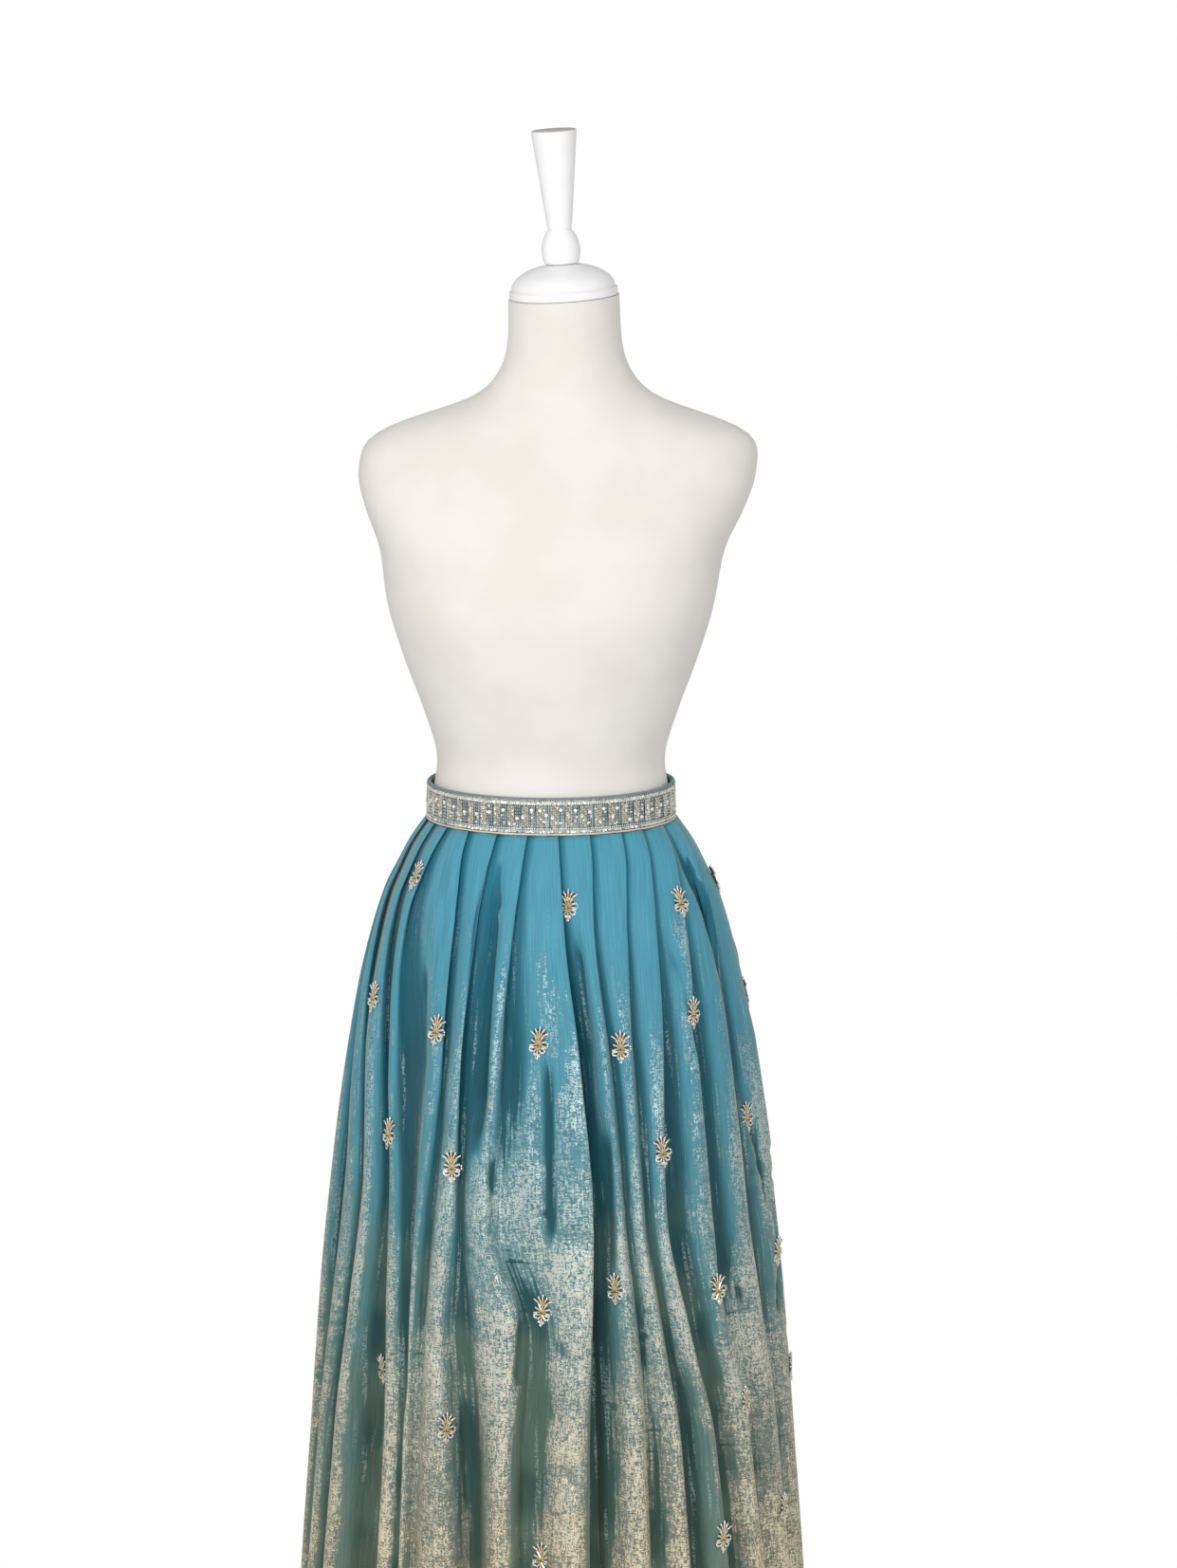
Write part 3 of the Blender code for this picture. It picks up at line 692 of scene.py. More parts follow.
def new_material(name):
    """A material, its shader, and the function that adds a node to it."""
    material = bpy.data.materials.new(name)
    material.use_nodes = True
    tree = material.node_tree
    return material, tree.nodes["Principled BSDF"], partial(add_node, tree)


def stretched(add, place, sizes):
    """The place measured in patterns of these sizes, in millimetres, along its axes."""
    scale = [1000 / size for size in sizes]
    return add("Mapping", {"Vector": place, "Scale": (*scale, 1.0)[:3]})


def soft_pattern(add, place, sizes, detail=2.0, roughness=0.5):
    """Soft noise with patches of these sizes."""
    vector = stretched(add, place, sizes)
    return add("TexNoise", {"Vector": vector, "Scale": 1.0, "Detail": detail, "Roughness": roughness})


def yarn_pattern(add, place, sizes):
    """A random value for each cell of a grid, as yarns of these sizes give."""
    cells = add("VectorMath", (stretched(add, place, sizes),), operation="FLOOR")
    return add("TexWhiteNoise", {"Vector": cells}, noise_dimensions="2D")


def share_where(add, most, *steps):
    """A share that is greatest where each value is past its step, from one limit to another."""
    product = None
    for step in steps:
        limits = (0.0, most if product is None else 1.0)
        share = add("MapRange", (*step, *limits), interpolation_type="SMOOTHSTEP")
        product = share if product is None else add("Math", (product, share), operation="MULTIPLY")
    return product


def layered(add, colour, *layers):
    """Lays colours over a first one, each with the share of it that it covers."""
    for share, over in layers:
        colour = add("Mix", {0: share, 6: colour, 7: over}, output=2, data_type="RGBA")
    return colour


CLOUDING = (22.22, 22.22, 22.22)  # size of the faint clouds, in millimetres
CLOUDED_SHARE = 0.12
CLOUD_LIMITS = (0.3, 0.7)    # between which values of their noise they set in
CLOUD_SHADE = 0.72


def plain_material(name, colour, roughness, metallic=0.0, more=()):
    """One of the plain finishes, with a faint cloudiness of its colour."""
    material, shader, add = new_material(name)
    clouds = soft_pattern(add, add("TexCoord", output="Object"), CLOUDING, 3.0)
    darker = (*(channel * CLOUD_SHADE for channel in srgb(colour)[:3]), 1.0)
    clouded = (share_where(add, CLOUDED_SHARE, (clouds, *CLOUD_LIMITS)), darker)
    connect(shader, {
        "Base Color": layered(add, srgb(colour), clouded),
        "Roughness": roughness, "Metallic": metallic, **dict(more),
    })
    return material


# Plain finishes: name, colour, roughness, metallic share and more of the shader's inputs
FINISHES = {
    # Sprayed enamel hides the wood's grain: white, smooth, with a soft bright highlight
    "enamel": ("white enamel on turned wood, gloss", "#fbfafa", 0.3, 0.0,
               {"Coat Weight": 0.2, "Coat Roughness": 0.2}),
    # The sawn top of the turning is primed only: a flat grey disc
    "primer": ("grey primer on turned wood, matt", "#cbc5c4", 0.7),
    # Baked powder gives steel an even pale grey with a broad dim highlight
    "powder": ("white powder coat on steel, satin", "#dcdbd8", 0.5),
    # Pressed glass with a coloured or silvered lining glitters in small bright points; the sprigs' dark beads
    # also stand in for painted shade between their light petals and under their fans
    "gold beads": ("champagne gold glass beads, gloss", "#cfbf97", 0.22, 0.45),
    "silver beads": ("silver-lined glass beads, gloss", "#e9e8e1", 0.22, 0.40),
    "dark beads": ("bronze glass beads and painted shade, gloss", "#5d4c38", 0.25, 0.4),
    # Punched metallised film flashes as one disc when it faces the light
    "sequins": ("silver sequins, gloss", "#f3f1ea", 0.18, 0.45),
    # Pearl-coated glass is milky white with one sharp highlight
    "pearls": ("white pearls, gloss", "#f6f4ee", 0.18),
    # Satin cut on the bias and folded over the edge is smooth blue-grey
    "binding": ("blue-grey satin binding", "#6f8d99", 0.45),
    # Cord covered in metallised yarn is pale gold with a dull gleam
    "piping": ("pale gold piping cord, metallic", "#e6e0c8", 0.34, 0.4),
    # Paper is even and takes only a soft shadow
    "paper": ("white paper, matt", "#f4f4f2", 0.9),
}

# Colours of the tissue up the skirt, each from a height: facing out; painted shade in the valleys; a painted
# sheen where the weft's painted gleam sets in; painted glints of single yarns of the weft; and the darker
# gaps between those glints
LIT_CLOTH = ((0.30, "#667d74"), (0.48, "#577b76"), (0.62, "#4e8891"), (0.80, "#4b91a4"), (0.98, "#4f9bb2"))
SHADED_CLOTH = ((0.30, "#364e44"), (0.60, "#1b484c"), (0.82, "#08505f"), (0.98, "#156a80"))
PAINTED_WEFT_SHEEN = ((0.30, "#858474"), (0.44, "#7c8880"), (0.58, "#6c8f90"), (0.82, "#5593a5"))
PAINTED_WEFT_GLINTS = ((0.34, "#eaddbf"), (0.52, "#ddd8c7"), (0.70, "#c2cfca"), (0.86, "#a2c4cc"))
WEFT_GAPS = ((0.36, "#57605a"), (0.62, "#3f646c"))
GREYED_CLOTH = "#6c7f70"
PAINTED_GLINT_LINES = "#a9bdb9"
PAINTED_EDGE_HIGHLIGHT = "#b9c0ae"

# Sizes of the tissue's patterns in millimetres, across and upright. The real yarns, about 0.25 mm, are too
# fine to show, so they are drawn about 1 mm wide, each kind with its share of the weave.
YARNS = (((1.0, 6.0), 0.31), ((4.0, 1.0), 0.27), ((1.0, 0.9), 0.42))
FIBRES = (1.613, 45.45)
SHINE_STREAKS = (3.333, 76.92)
CROSS_RIPPLES = (83.33, 11.765)
BROKEN_LINES = (5.882, 111.1)
CLOUDS = (26.32, 26.32)
TONES = (111.1, 111.1)
EDGE_HIGHLIGHT_BREAKS = (16.67, 16.67)


def tissue_material():
    """Two-tone tissue, woven of a teal warp over a gold metallic weft: satin teal, with painted shade in its
    valleys and creases, a painted pale gold gleam and glints where its folds face outward, the glinting yarns
    partly metallic, and painted highlights along the folds' edges."""
    material, shader, add = new_material("teal and gold tissue cloth, satin with metallic weft")
    rise, gleam, around, hairline = (
        add("Attribute", output="Fac", attribute_name=field) for field in CLOTH_FIELDS
    )
    height = add("SeparateXYZ", (add("TexCoord", output="Object"),), output="Z")
    on_cloth = add("CombineXYZ", (around, height))
    fibres = soft_pattern(add, on_cloth, FIBRES)
    streaks = soft_pattern(add, on_cloth, SHINE_STREAKS, 3.0, 0.6)
    clouds = soft_pattern(add, on_cloth, CLOUDS, 3.0, 0.6)
    tones = soft_pattern(add, on_cloth, TONES)
    weave = 0.0
    for sizes, share in YARNS:
        weave = add("Math", (yarn_pattern(add, on_cloth, sizes), share, weave), operation="MULTIPLY_ADD")
    lit_cloth, shaded_cloth, painted_sheen, flash, gaps = (
        add("ValToRGB", (height,), stops=stops)
        for stops in (LIT_CLOTH, SHADED_CLOTH, PAINTED_WEFT_SHEEN, PAINTED_WEFT_GLINTS, WEFT_GAPS)
    )

    # Teal ground, greyer and greener towards the hem, with painted shade in the valleys and the deeper
    # creases
    shoulder = add("MapRange", (height, 0.78, 0.94, 0.70, 0.44), interpolation_type="SMOOTHSTEP")
    ground = layered(
        add, lit_cloth,
        (share_where(add, 0.95, (rise, shoulder, 0.06)), shaded_cloth),
        (share_where(add, 0.45, (tones, 0.45, 0.62), (height, 0.78, 0.50)), srgb(GREYED_CLOTH)),
    )
    fibre = add("MapRange", (fibres, 0.30, 0.72, 0.88, 1.10), interpolation_type="SMOOTHSTEP")
    ground = add("Mix", {0: 1.0, 6: ground, 7: fibre}, output=2, data_type="RGBA", blend_type="MULTIPLY")

    # Where the highlight is painted: the painted gleam, uneven by the patterns' distance from their middle
    # value of
    # 0.5, less the small crosswise ripples of the lower half
    to_light = gleam
    for pattern, share in ((clouds, 0.30), (streaks, 0.75), (tones, 0.55)):
        uneven = add("Math", (pattern, 0.5), operation="SUBTRACT")
        to_light = add("Math", (uneven, share, to_light), operation="MULTIPLY_ADD")
    ripples = soft_pattern(add, on_cloth, CROSS_RIPPLES)
    ripples = share_where(add, 0.30, (ripples, 0.58, 0.76), (height, 0.72, 0.60))
    to_light = add("Math", (to_light, ripples), operation="SUBTRACT")

    # There a painted sheen greys the cloth, and painted glints of single weft yarns show between darker gaps;
    # the glinting yarns are also partly metallic
    density = add("Math", (to_light, 0.38), operation="MINIMUM")
    shine = add("Math", (density, 0.62, weave), operation="MULTIPLY_ADD")
    for pattern, share in ((tones, 0.60), (clouds, 0.25)):
        uneven = add("Math", (pattern, 0.5), operation="SUBTRACT")
        shine = add("Math", (uneven, share, shine), operation="MULTIPLY_ADD")
    flashing = share_where(add, 1.0, (shine, 0.58, 0.94), (to_light, -0.08, 0.06))
    # Higher up the painted glints show only as broken upright lines, and painted highlights run down the
    # folds' outer edges
    lines = soft_pattern(add, on_cloth, BROKEN_LINES)
    lines = share_where(add, 0.65, (lines, 0.55, 0.70), (weave, 0.40, 0.66), (height, 0.98, 0.84))
    edge_highlights = soft_pattern(add, on_cloth, EDGE_HIGHLIGHT_BREAKS)
    edge_highlights = share_where(add, 0.55, (edge_highlights, 0.42, 0.62), (height, 0.90, 0.76), (weave, 0.42, 0.58))
    edge_highlights = add("Math", (edge_highlights, hairline), operation="MULTIPLY")
    colour = layered(
        add, ground,
        (share_where(add, 0.95, (to_light, -0.10, 0.10)), painted_sheen),
        (share_where(add, 0.60, (weave, 0.46, 0.22), (to_light, -0.05, 0.15)), gaps),
        (flashing, flash),
        (lines, srgb(PAINTED_GLINT_LINES)),
        (edge_highlights, srgb(PAINTED_EDGE_HIGHLIGHT)),
    )
    relief = add("Math", (fibres, 0.5, weave), operation="MULTIPLY_ADD")
    connect(shader, {
        "Base Color": colour,
        "Metallic": add("Math", (flashing, 0.35), operation="MULTIPLY"),
        "Roughness": add("MapRange", (flashing, 0.0, 1.0, 0.56, 0.42), interpolation_type="SMOOTHSTEP"),
        "Specular IOR Level": 0.18,
        "Sheen Weight": 0.65,
        "Sheen Roughness": 0.42,
        "Sheen Tint": srgb("#cfc19a"),
        "Normal": add("Bump", {"Strength": 0.35, "Distance": 0.0006, "Height": relief}),
    })
    return material


# Sizes in millimetres along the three axes. The jersey's ribs are drawn about 1.2 mm apart, coarser than the
# real knit's 0.5 mm, so that they show.
JERSEY_TONES = (71.43, 71.43, 71.43)
JERSEY_RIBS = (1.25, 1.25, 1.25)
SILVER_THREADS = (1.111, 1.111, 16.667)
THREAD_COLOURS = ((0.36, "#33474f"), (0.52, "#64787d"), (0.66, "#a9b2ae"))


def jersey_material():
    """Fine knitted cotton jersey: off-white and matt, with a slight nap that softens its edges."""
    material, shader, add = new_material("off-white jersey, matt")
    place = add("TexCoord", output="Object")
    tones = soft_pattern(add, place, JERSEY_TONES, 3.0)
    ribs = soft_pattern(add, place, JERSEY_RIBS, 1.0)
    darker = share_where(add, 1.0, (tones, 0.35, 0.65))
    connect(shader, {
        "Base Color": layered(add, srgb("#ece8e1"), (darker, srgb("#e6e2da"))),
        "Roughness": 0.78,
        "Sheen Weight": 0.15,
        "Normal": add("Bump", {"Strength": 0.12, "Distance": 0.0003, "Height": ribs}),
    })
    return material


def band_cloth_material():
    """The waistband's ground, woven tissue: satin blue-grey, streaked by upright silver threads."""
    material, shader, add = new_material("blue-grey tissue with silver threads, satin")
    threads = soft_pattern(add, add("TexCoord", output="Object"), SILVER_THREADS, 1.0)
    connect(shader, {
        "Base Color": add("ValToRGB", (threads,), stops=THREAD_COLOURS),
        "Roughness": 0.42,
        "Metallic": 0.25,
        "Normal": add("Bump", {"Strength": 0.3, "Distance": 0.0004, "Height": threads}),
    })
    return material


# Beadwork: small shapes joined into one mesh for each material

class Beads:
    """Collects small bead shapes as vertices and faces."""

    def __init__(self, name, material):
        self.name = name
        self.material = material
        self.vertices = []
        self.faces = []

    def add(self, shape, place, sizes):
        """A copy of a unit shape: place is (origin, x axis, y axis, z axis)."""
        base = len(self.vertices)
        for point in shape[0]:
            x, y, z = (share * size for share, size in zip(point, sizes))
            self.vertices.append(shifted(place, x, y, z)[0])
        self.faces += [tuple(base + i for i in face) for face in shape[1]]

    def make(self):
        mesh = bpy.data.meshes.new(self.name)
        mesh.from_pydata([tuple(v) for v in self.vertices], [], self.faces)
        mesh.shade_smooth()
        mesh.set_sharp_from_angle(angle=radians(50))
        add_piece(self.name, mesh, self.material)


def ring_shape(rings, sides):
    """A unit shape from rings of (radius, height); a ring of radius 0 is one point."""
    vertices, starts = [], []
    for radius, height in rings:
        starts.append(len(vertices))
        turns = [tau * i / sides for i in range(sides if radius > 0 else 1)]
        vertices += [(radius * cos(turn), radius * sin(turn), height) for turn in turns]
    faces = []
    for (one, (r0, _)), (two, (r1, _)) in zip(zip(starts, rings), zip(starts[1:], rings[1:])):
        for i in range(sides):
            j = (i + 1) % sides
            if r0 == 0:
                faces.append((one, two + i, two + j))
            elif r1 == 0:
                faces.append((one + i, two, one + j))
            else:
                faces.append((one + i, two + i, two + j, one + j))
    return vertices, faces


# Unit shapes: x and y across, z outward from the cloth or along a tube bead
PEARL = ring_shape(((0.0, 0.5), (0.42, 0.30), (0.5, 0.0), (0.3, -0.4)), 8)
SEED = ring_shape(((0.0, 0.5), (0.5, 0.05), (0.3, -0.45)), 6)
TUBE = ring_shape(((0.0, 0.5), (0.5, 0.40), (0.5, -0.40), (0.0, -0.5)), 5)
SEQUIN = ring_shape(((0.14, 0.05), (0.5, 0.45), (0.5, 0.30)), 8)


def turned(place, angle):
    """The place with its x and y axes turned about z."""
    origin, right, up, out = place
    return (origin, right * cos(angle) + up * sin(angle), up * cos(angle) - right * sin(angle), out)


def shifted(place, x, y, z):
    origin, right, up, out = place
    return (origin + right * x + up * y + out * z, right, up, out)


def leaned(place, draw, most):
    """The place leaned at random, as a disc held by one stitch leans."""
    origin, right, up, out = place
    facing = (right * draw.uniform(-most, most) + up * draw.uniform(-most, most) + out).normalized()
    right = up.cross(facing).normalized()
    return (origin, right, facing.cross(right), facing)


def lay_tube(beads, place, x, y, direction, length, width):
    """A tube bead lying on the cloth, pointing at an angle from the y axis."""
    origin, right, up, out = turned(shifted(place, x, y, width * 0.5), direction)
    beads.add(TUBE, (origin, out, right, up), (width, width, length))


LEAST_OUTWARD = 0.2        # how far a sprig's ground has to face out to be taken as it is


def cloth_place(cloth, angle, height, within):
    """A place on the outermost layer of the cloth: origin, rightward, upward and outward axes."""
    row = int(np.argmin(np.abs(cloth.points[:, 0, 2] - height)))
    near = np.abs(wrapped(cloth.angles[row] - angle)) < within
    reach = np.hypot(cloth.points[row, :, 0], cloth.points[row, :, 1])
    column = int(np.argmax(np.where(near, reach, 0.0)))
    beside = np.arange(column - 3, column + 4) % len(reach)
    around = cloth.normals[row - 2:row + 3, beside]
    normal = Vector(around.mean(axis=(0, 1))).normalized()
    point = Vector(cloth.points[row, column])
    outward = Vector((point.x, point.y, 0)).normalized()
    if normal.dot(outward) < LEAST_OUTWARD:
        normal = (normal + outward).normalized()
    right = Vector((0, 0, 1)).cross(normal).normalized()
    return (point + normal * (CLOTH_THICKNESS / 2), right, normal.cross(right).normalized(), normal)


# A sprig is three fans of tube beads. Each opens by so many degrees to both sides of its aim.
Fan = namedtuple("Fan", "foot aim spread count reach lift")
SPRIG_FANS = (
    Fan(-0.0062, 180.0, 78.0, 5, 0.0086, 0.0),
    Fan(-0.0035, 0.0, 104.0, 7, 0.0106, 0.0004),
    Fan(0.0016, 0.0, 58.0, 5, 0.0130, 0.0008),
)
FAN_NARROWING = 0.84
PETAL_WIDTH = 0.0017
PETAL_LENGTH = 0.52        # each of its two tubes, as a share of its reach
DARK_REACH = 0.84          # of every second petal, against its fan's
DARK_SET_BACK = 0.0006
DARK_SHARES = (0.30, 0.68)  # where along its reach each tube lies
LIGHT_SHARES = (0.30, 0.72)
SHORT_PETAL = 0.90         # every second light petal
HEART_PLACE = (0.0, -0.0040, 0.0004)
HEART_SIZE = (0.0090, 0.0120, 0.0016)
CURL_SEEDS = 6
CURL_SEED = (0.0019, 0.0019, 0.0017)
CURL_LEVEL = 0.0008
# Curls of seed beads beside the fans: x, y, radius, first and last turn in degrees
SPRIG_CURLS = ((0.0070, -0.0036, 0.0029, -120, 130), (0.0050, -0.0094, 0.0023, -150, 90),
               (-0.0060, -0.0088, 0.0021, 90, 290))
# Sequins of its tail: x, y and width. Each is held by a seed bead.
SPRIG_TAIL = ((-0.0015, -0.0138, 0.0034), (0.0016, -0.0142, 0.0034), (0.0, -0.0168, 0.0030))
TAIL_LEVEL = 0.0007
TAIL_THICKNESS = 0.0012
TAIL_LEAN = 0.35
TAIL_SEED = (0.0014, 0.0014, 0.0014)
SEED_ABOVE_SEQUIN = 0.0005
SPRIG_SWING = 8            # degrees by which a sprig may be turned
SPRIG_RANDOM_SEED = 5


def add_petal(strands, place, fan, number):
    """One petal of a fan, of two tube beads. Each second one is dark, shorter and set back, and stands in for
    painted shade between the light petals.
    """
    lean = radians(fan.aim + blend(-fan.spread, fan.spread, number / (2 * fan.count - 2)))
    reach, level = fan.reach, fan.lift
    colours, shares = ("gold", "silver"), LIGHT_SHARES
    if number % 2:
        reach *= DARK_REACH
        level -= DARK_SET_BACK
        colours, shares = ("dark", "dark"), DARK_SHARES
    elif number % 4 == 2:
        reach *= SHORT_PETAL
    for colour, share in zip(colours, shares):
        x = -sin(lean) * reach * share * FAN_NARROWING
        y = fan.foot + cos(lean) * reach * share
        spot = shifted(place, 0.0, 0.0, level)
        lay_tube(strands[colour], spot, x, y, lean, reach * PETAL_LENGTH, PETAL_WIDTH)


def add_sprig(place, strands, draw):
    """A beaded sprig about 19 by 33 mm, shaped like a small pine cone."""
    place = turned(place, radians(draw.uniform(-SPRIG_SWING, SPRIG_SWING)))
    # A large dark heart under the fans, which also stands in for painted shade beneath them
    strands["dark"].add(PEARL, shifted(place, *HEART_PLACE), HEART_SIZE)
    for fan in SPRIG_FANS:
        for number in range(2 * fan.count - 1):
            add_petal(strands, place, fan, number)
    for x, y, radius, first, last in SPRIG_CURLS:
        for i in range(CURL_SEEDS):
            turn = radians(blend(first, last, i / (CURL_SEEDS - 1)))
            spot = shifted(place, x + cos(turn) * radius, y + sin(turn) * radius, CURL_LEVEL)
            strands["silver"].add(SEED, spot, CURL_SEED)
    for x, y, size in SPRIG_TAIL:
        spot = shifted(place, x, y, TAIL_LEVEL)
        disc = leaned(spot, draw, TAIL_LEAN)
        strands["silver"].add(SEQUIN, disc, (size, size, TAIL_THICKNESS))
        origin, _, up, out = spot
        strands["gold"].add(SEED, (origin + out * SEED_ABOVE_SEQUIN, disc[1], up, out), TAIL_SEED)


def hidden_sprig_places():
    """Staggered rows of sprigs over the rest of the skirt."""
    places = []
    for number, height in enumerate(SPRIG_ROWS):
        width, depth = outline_at(height)
        count = max(6, round(pi * (width + depth) / SPRIG_PITCH))
        for i in range(count):
            angle = wrapped(360 * (i + 0.5 * (number % 2)) / count + 4 * sin(3.0 * i + number))
            if not (SEEN_ARC[0] < angle < SEEN_ARC[1] and height > SEEN_FOOT):
                places.append((angle, height + ROW_WAVE * sin(5.0 * i + 2 * number)))
    return places


def add_sprigs(cloth, finish):
    draw = random.Random(SPRIG_RANDOM_SEED)
    strands = {
        "gold": Beads("sprigs_gold_beads", finish["gold beads"]),
        "silver": Beads("sprigs_silver_sequins", finish["sequins"]),
        "dark": Beads("sprigs_dark_beads_and_shade", finish["dark beads"]),
    }
    places = [(*place, SEEN_SPRIG_SLACK) for place in SEEN_SPRIGS]
    places += [(*place, HIDDEN_SPRIG_SLACK) for place in hidden_sprig_places()]
    for place in places:
        add_sprig(cloth_place(cloth, *place), strands, draw)
    for beads in strands.values():
        beads.make()


# Waistband

def band_frame(angle, outward, above):
    """A place on the waistband: so far out of its outer face, and so far above its lower edge."""
    flare = BAND_FLARE * (1 - above / BAND_HEIGHT)
    half_width = BAND_HALF_WIDTH + flare
    half_depth = BAND_HALF_DEPTH + flare
    up = Vector((0, 0, 1))
    out = Vector((half_depth * sin(angle), -half_width * cos(angle), 0)).normalized()
    origin = Vector((half_width * sin(angle), -half_depth * cos(angle), WAIST_Z - BAND_HEIGHT + above))
    return (origin + out * outward, up.cross(out), up, out)


def band_pace():
    """Angles round the band, from one end at the back to the other, and how far along it each one is."""
    angles = [radians(-180 + 0.1 * i) for i in range(3601)]
    points = [band_frame(angle, 0.0, BAND_HEIGHT / 2)[0] for angle in angles]
    walked = [0.0]
    for one, two in zip(points, points[1:]):
        walked.append(walked[-1] + (two - one).length)
    return angles, walked


def add_swept(name, profile, material, sharp=40.0):
    """A profile of (outward, above) swept round the waist, from one side of the back slit to the other."""
    end = 180 - degrees(BACK_SLIT / 2 / BAND_HALF_WIDTH)
    count = ceil(end)
    angles = [radians(blend(-end, end, i / count)) for i in range(count + 1)]
    rings = np.array([[band_frame(angle, *point)[0] for point in profile] for angle in angles])
    return add_capped(name, rings, material, sharp)


BAND_MARGIN = 0.004        # bare at each end
BAND_RANDOM_SEED = 11
# Beads of the band: how wide, how tall and how thick
EDGE_SEQUIN = (0.0030, 0.0030, 0.0009)
EDGE_SEED = (0.0018, 0.0015, 0.0013)
GOLD_SEED = (0.0017, 0.0012, 0.0012)
BLOCK_SEQUIN = (0.0036, 0.0036, 0.0010)
BLOCK_SEED = (0.0012, 0.0012, 0.0014)
LARGE_PEARL = (0.0038, 0.0038, 0.0028)
SMALL_PEARL = (0.0022, 0.0022, 0.0018)
TUBE_LENGTHS = (0.0020, 0.0026)
TUBE_WIDTH = 0.00135
THREAD_LENGTH = 0.0021
THREAD_WIDTH = 0.0007
EDGE_LEAN = 0.3
EDGE_STRAY = 0.0002        # how far a sequin strays from its row
EDGE_SEED_LIFT = 0.0002
BORDER_FACE = BORDER_RISE * 0.6  # how far out the face of a raised border lies
# Heights above the band's lower edge
SEQUIN_ROWS = (0.0038, 0.0318)
SEED_ROWS = (0.0060, 0.0298)
GOLD_ROW = 0.0340
BLOCK_FOOT = 0.0068
BLOCK_TOP = 0.0292
EDGE_PITCH = 0.0022        # between the beads of a row
BLOCK_PITCH = 0.0140       # one block of beads and one of bare cloth
BEAD_COLUMNS = 4
BEAD_COLUMN_PITCH = 0.00165
BEAD_START = 0.0004        # bare before the first column of beads
TUBE_FOOT = BLOCK_FOOT + 0.0010
TUBE_TOP = BLOCK_TOP - 0.0012
TUBE_SHARE = 0.92          # of its place that a tube fills
TUBE_LEAN = 0.12           # radians
BARE_START = 0.0016        # from the last column of beads
THREAD_SHIFTS = (0.0, 0.0021, 0.0042)  # rows of thin tubes over the bare cloth
THREAD_PITCH = 0.0030
THREAD_FOOT = BLOCK_FOOT + 0.0012
THREAD_TOP = BLOCK_TOP - 0.0016
THREAD_MIDDLE = 0.0014     # of a thin tube, above the foot of its place
# Single beads over a block: how far along it, how high and how far out
PEARL_ALONG = 0.0018       # from the start of the bare cloth
PEARL_HEIGHTS = (0.011, 0.025)
PEARL_LIFT = 0.0003
DISC_ALONG = (0.001, 0.006)
DISC_HEIGHTS = (0.010, 0.026)
DISC_LIFT = 0.0012
DISC_SEED_LIFT = 0.0014
SMALL_PEARLS = 4
SMALL_PEARL_ALONG = (0.001, 0.012)
SMALL_PEARL_HEIGHTS = (0.009, 0.027)
SMALL_PEARL_LIFT = 0.0009


def add_border_beads(spot, strands, length, draw):
    """Rows of sequins and small beads along both edges."""
    for i in range(int(length / EDGE_PITCH)):
        along = i * EDGE_PITCH
        for above in SEQUIN_ROWS:
            place = spot(along, above + draw.uniform(-EDGE_STRAY, EDGE_STRAY), BORDER_FACE)
            strands["discs"].add(SEQUIN, leaned(place, draw, EDGE_LEAN), EDGE_SEQUIN)
        for above in SEED_ROWS:
            strands["silver"].add(SEED, spot(along + EDGE_PITCH / 2, above, EDGE_SEED_LIFT), EDGE_SEED)
        strands["gold"].add(SEED, spot(along, GOLD_ROW, BORDER_RISE), GOLD_SEED)


def add_bead_block(spot, strands, start, block, draw):
    """One block of upright bead columns, and the barer cloth after it."""
    for column in range(BEAD_COLUMNS):
        along = start + (column + 0.5) * BEAD_COLUMN_PITCH + BEAD_START
        above = TUBE_FOOT
        number = 0
        while above < TUBE_TOP:
            strand = strands["silver" if (number + column + block) % 3 else "gold"]
            size = draw.uniform(*TUBE_LENGTHS)
            place = spot(along, above + size / 2, 0.0)
            lean = draw.uniform(-TUBE_LEAN, TUBE_LEAN)
            lay_tube(strand, place, 0.0, 0.0, lean, size * TUBE_SHARE, TUBE_WIDTH)
            above += size
            number += 1
    bare = start + BEAD_COLUMNS * BEAD_COLUMN_PITCH + BARE_START
    for shift in THREAD_SHIFTS:
        above = THREAD_FOOT
        while above < THREAD_TOP:
            place = spot(bare + shift, above + THREAD_MIDDLE, 0.0)
            lay_tube(strands["silver"], place, 0.0, 0.0, 0.0, THREAD_LENGTH, THREAD_WIDTH)
            above += THREAD_PITCH
    place = spot(bare + PEARL_ALONG, draw.uniform(*PEARL_HEIGHTS), PEARL_LIFT)
    strands["pearls"].add(PEARL, place, LARGE_PEARL)
    above = draw.uniform(*DISC_HEIGHTS)
    place = spot(start + draw.uniform(*DISC_ALONG), above, DISC_LIFT)
    strands["discs"].add(SEQUIN, place, BLOCK_SEQUIN)
    place = spot(start + draw.uniform(*DISC_ALONG), above, DISC_SEED_LIFT)
    strands["silver"].add(SEED, place, BLOCK_SEED)
    for _ in range(SMALL_PEARLS):
        along = start + draw.uniform(*SMALL_PEARL_ALONG)
        place = spot(along, draw.uniform(*SMALL_PEARL_HEIGHTS), SMALL_PEARL_LIFT)
        strands["pearls"].add(PEARL, place, SMALL_PEARL)


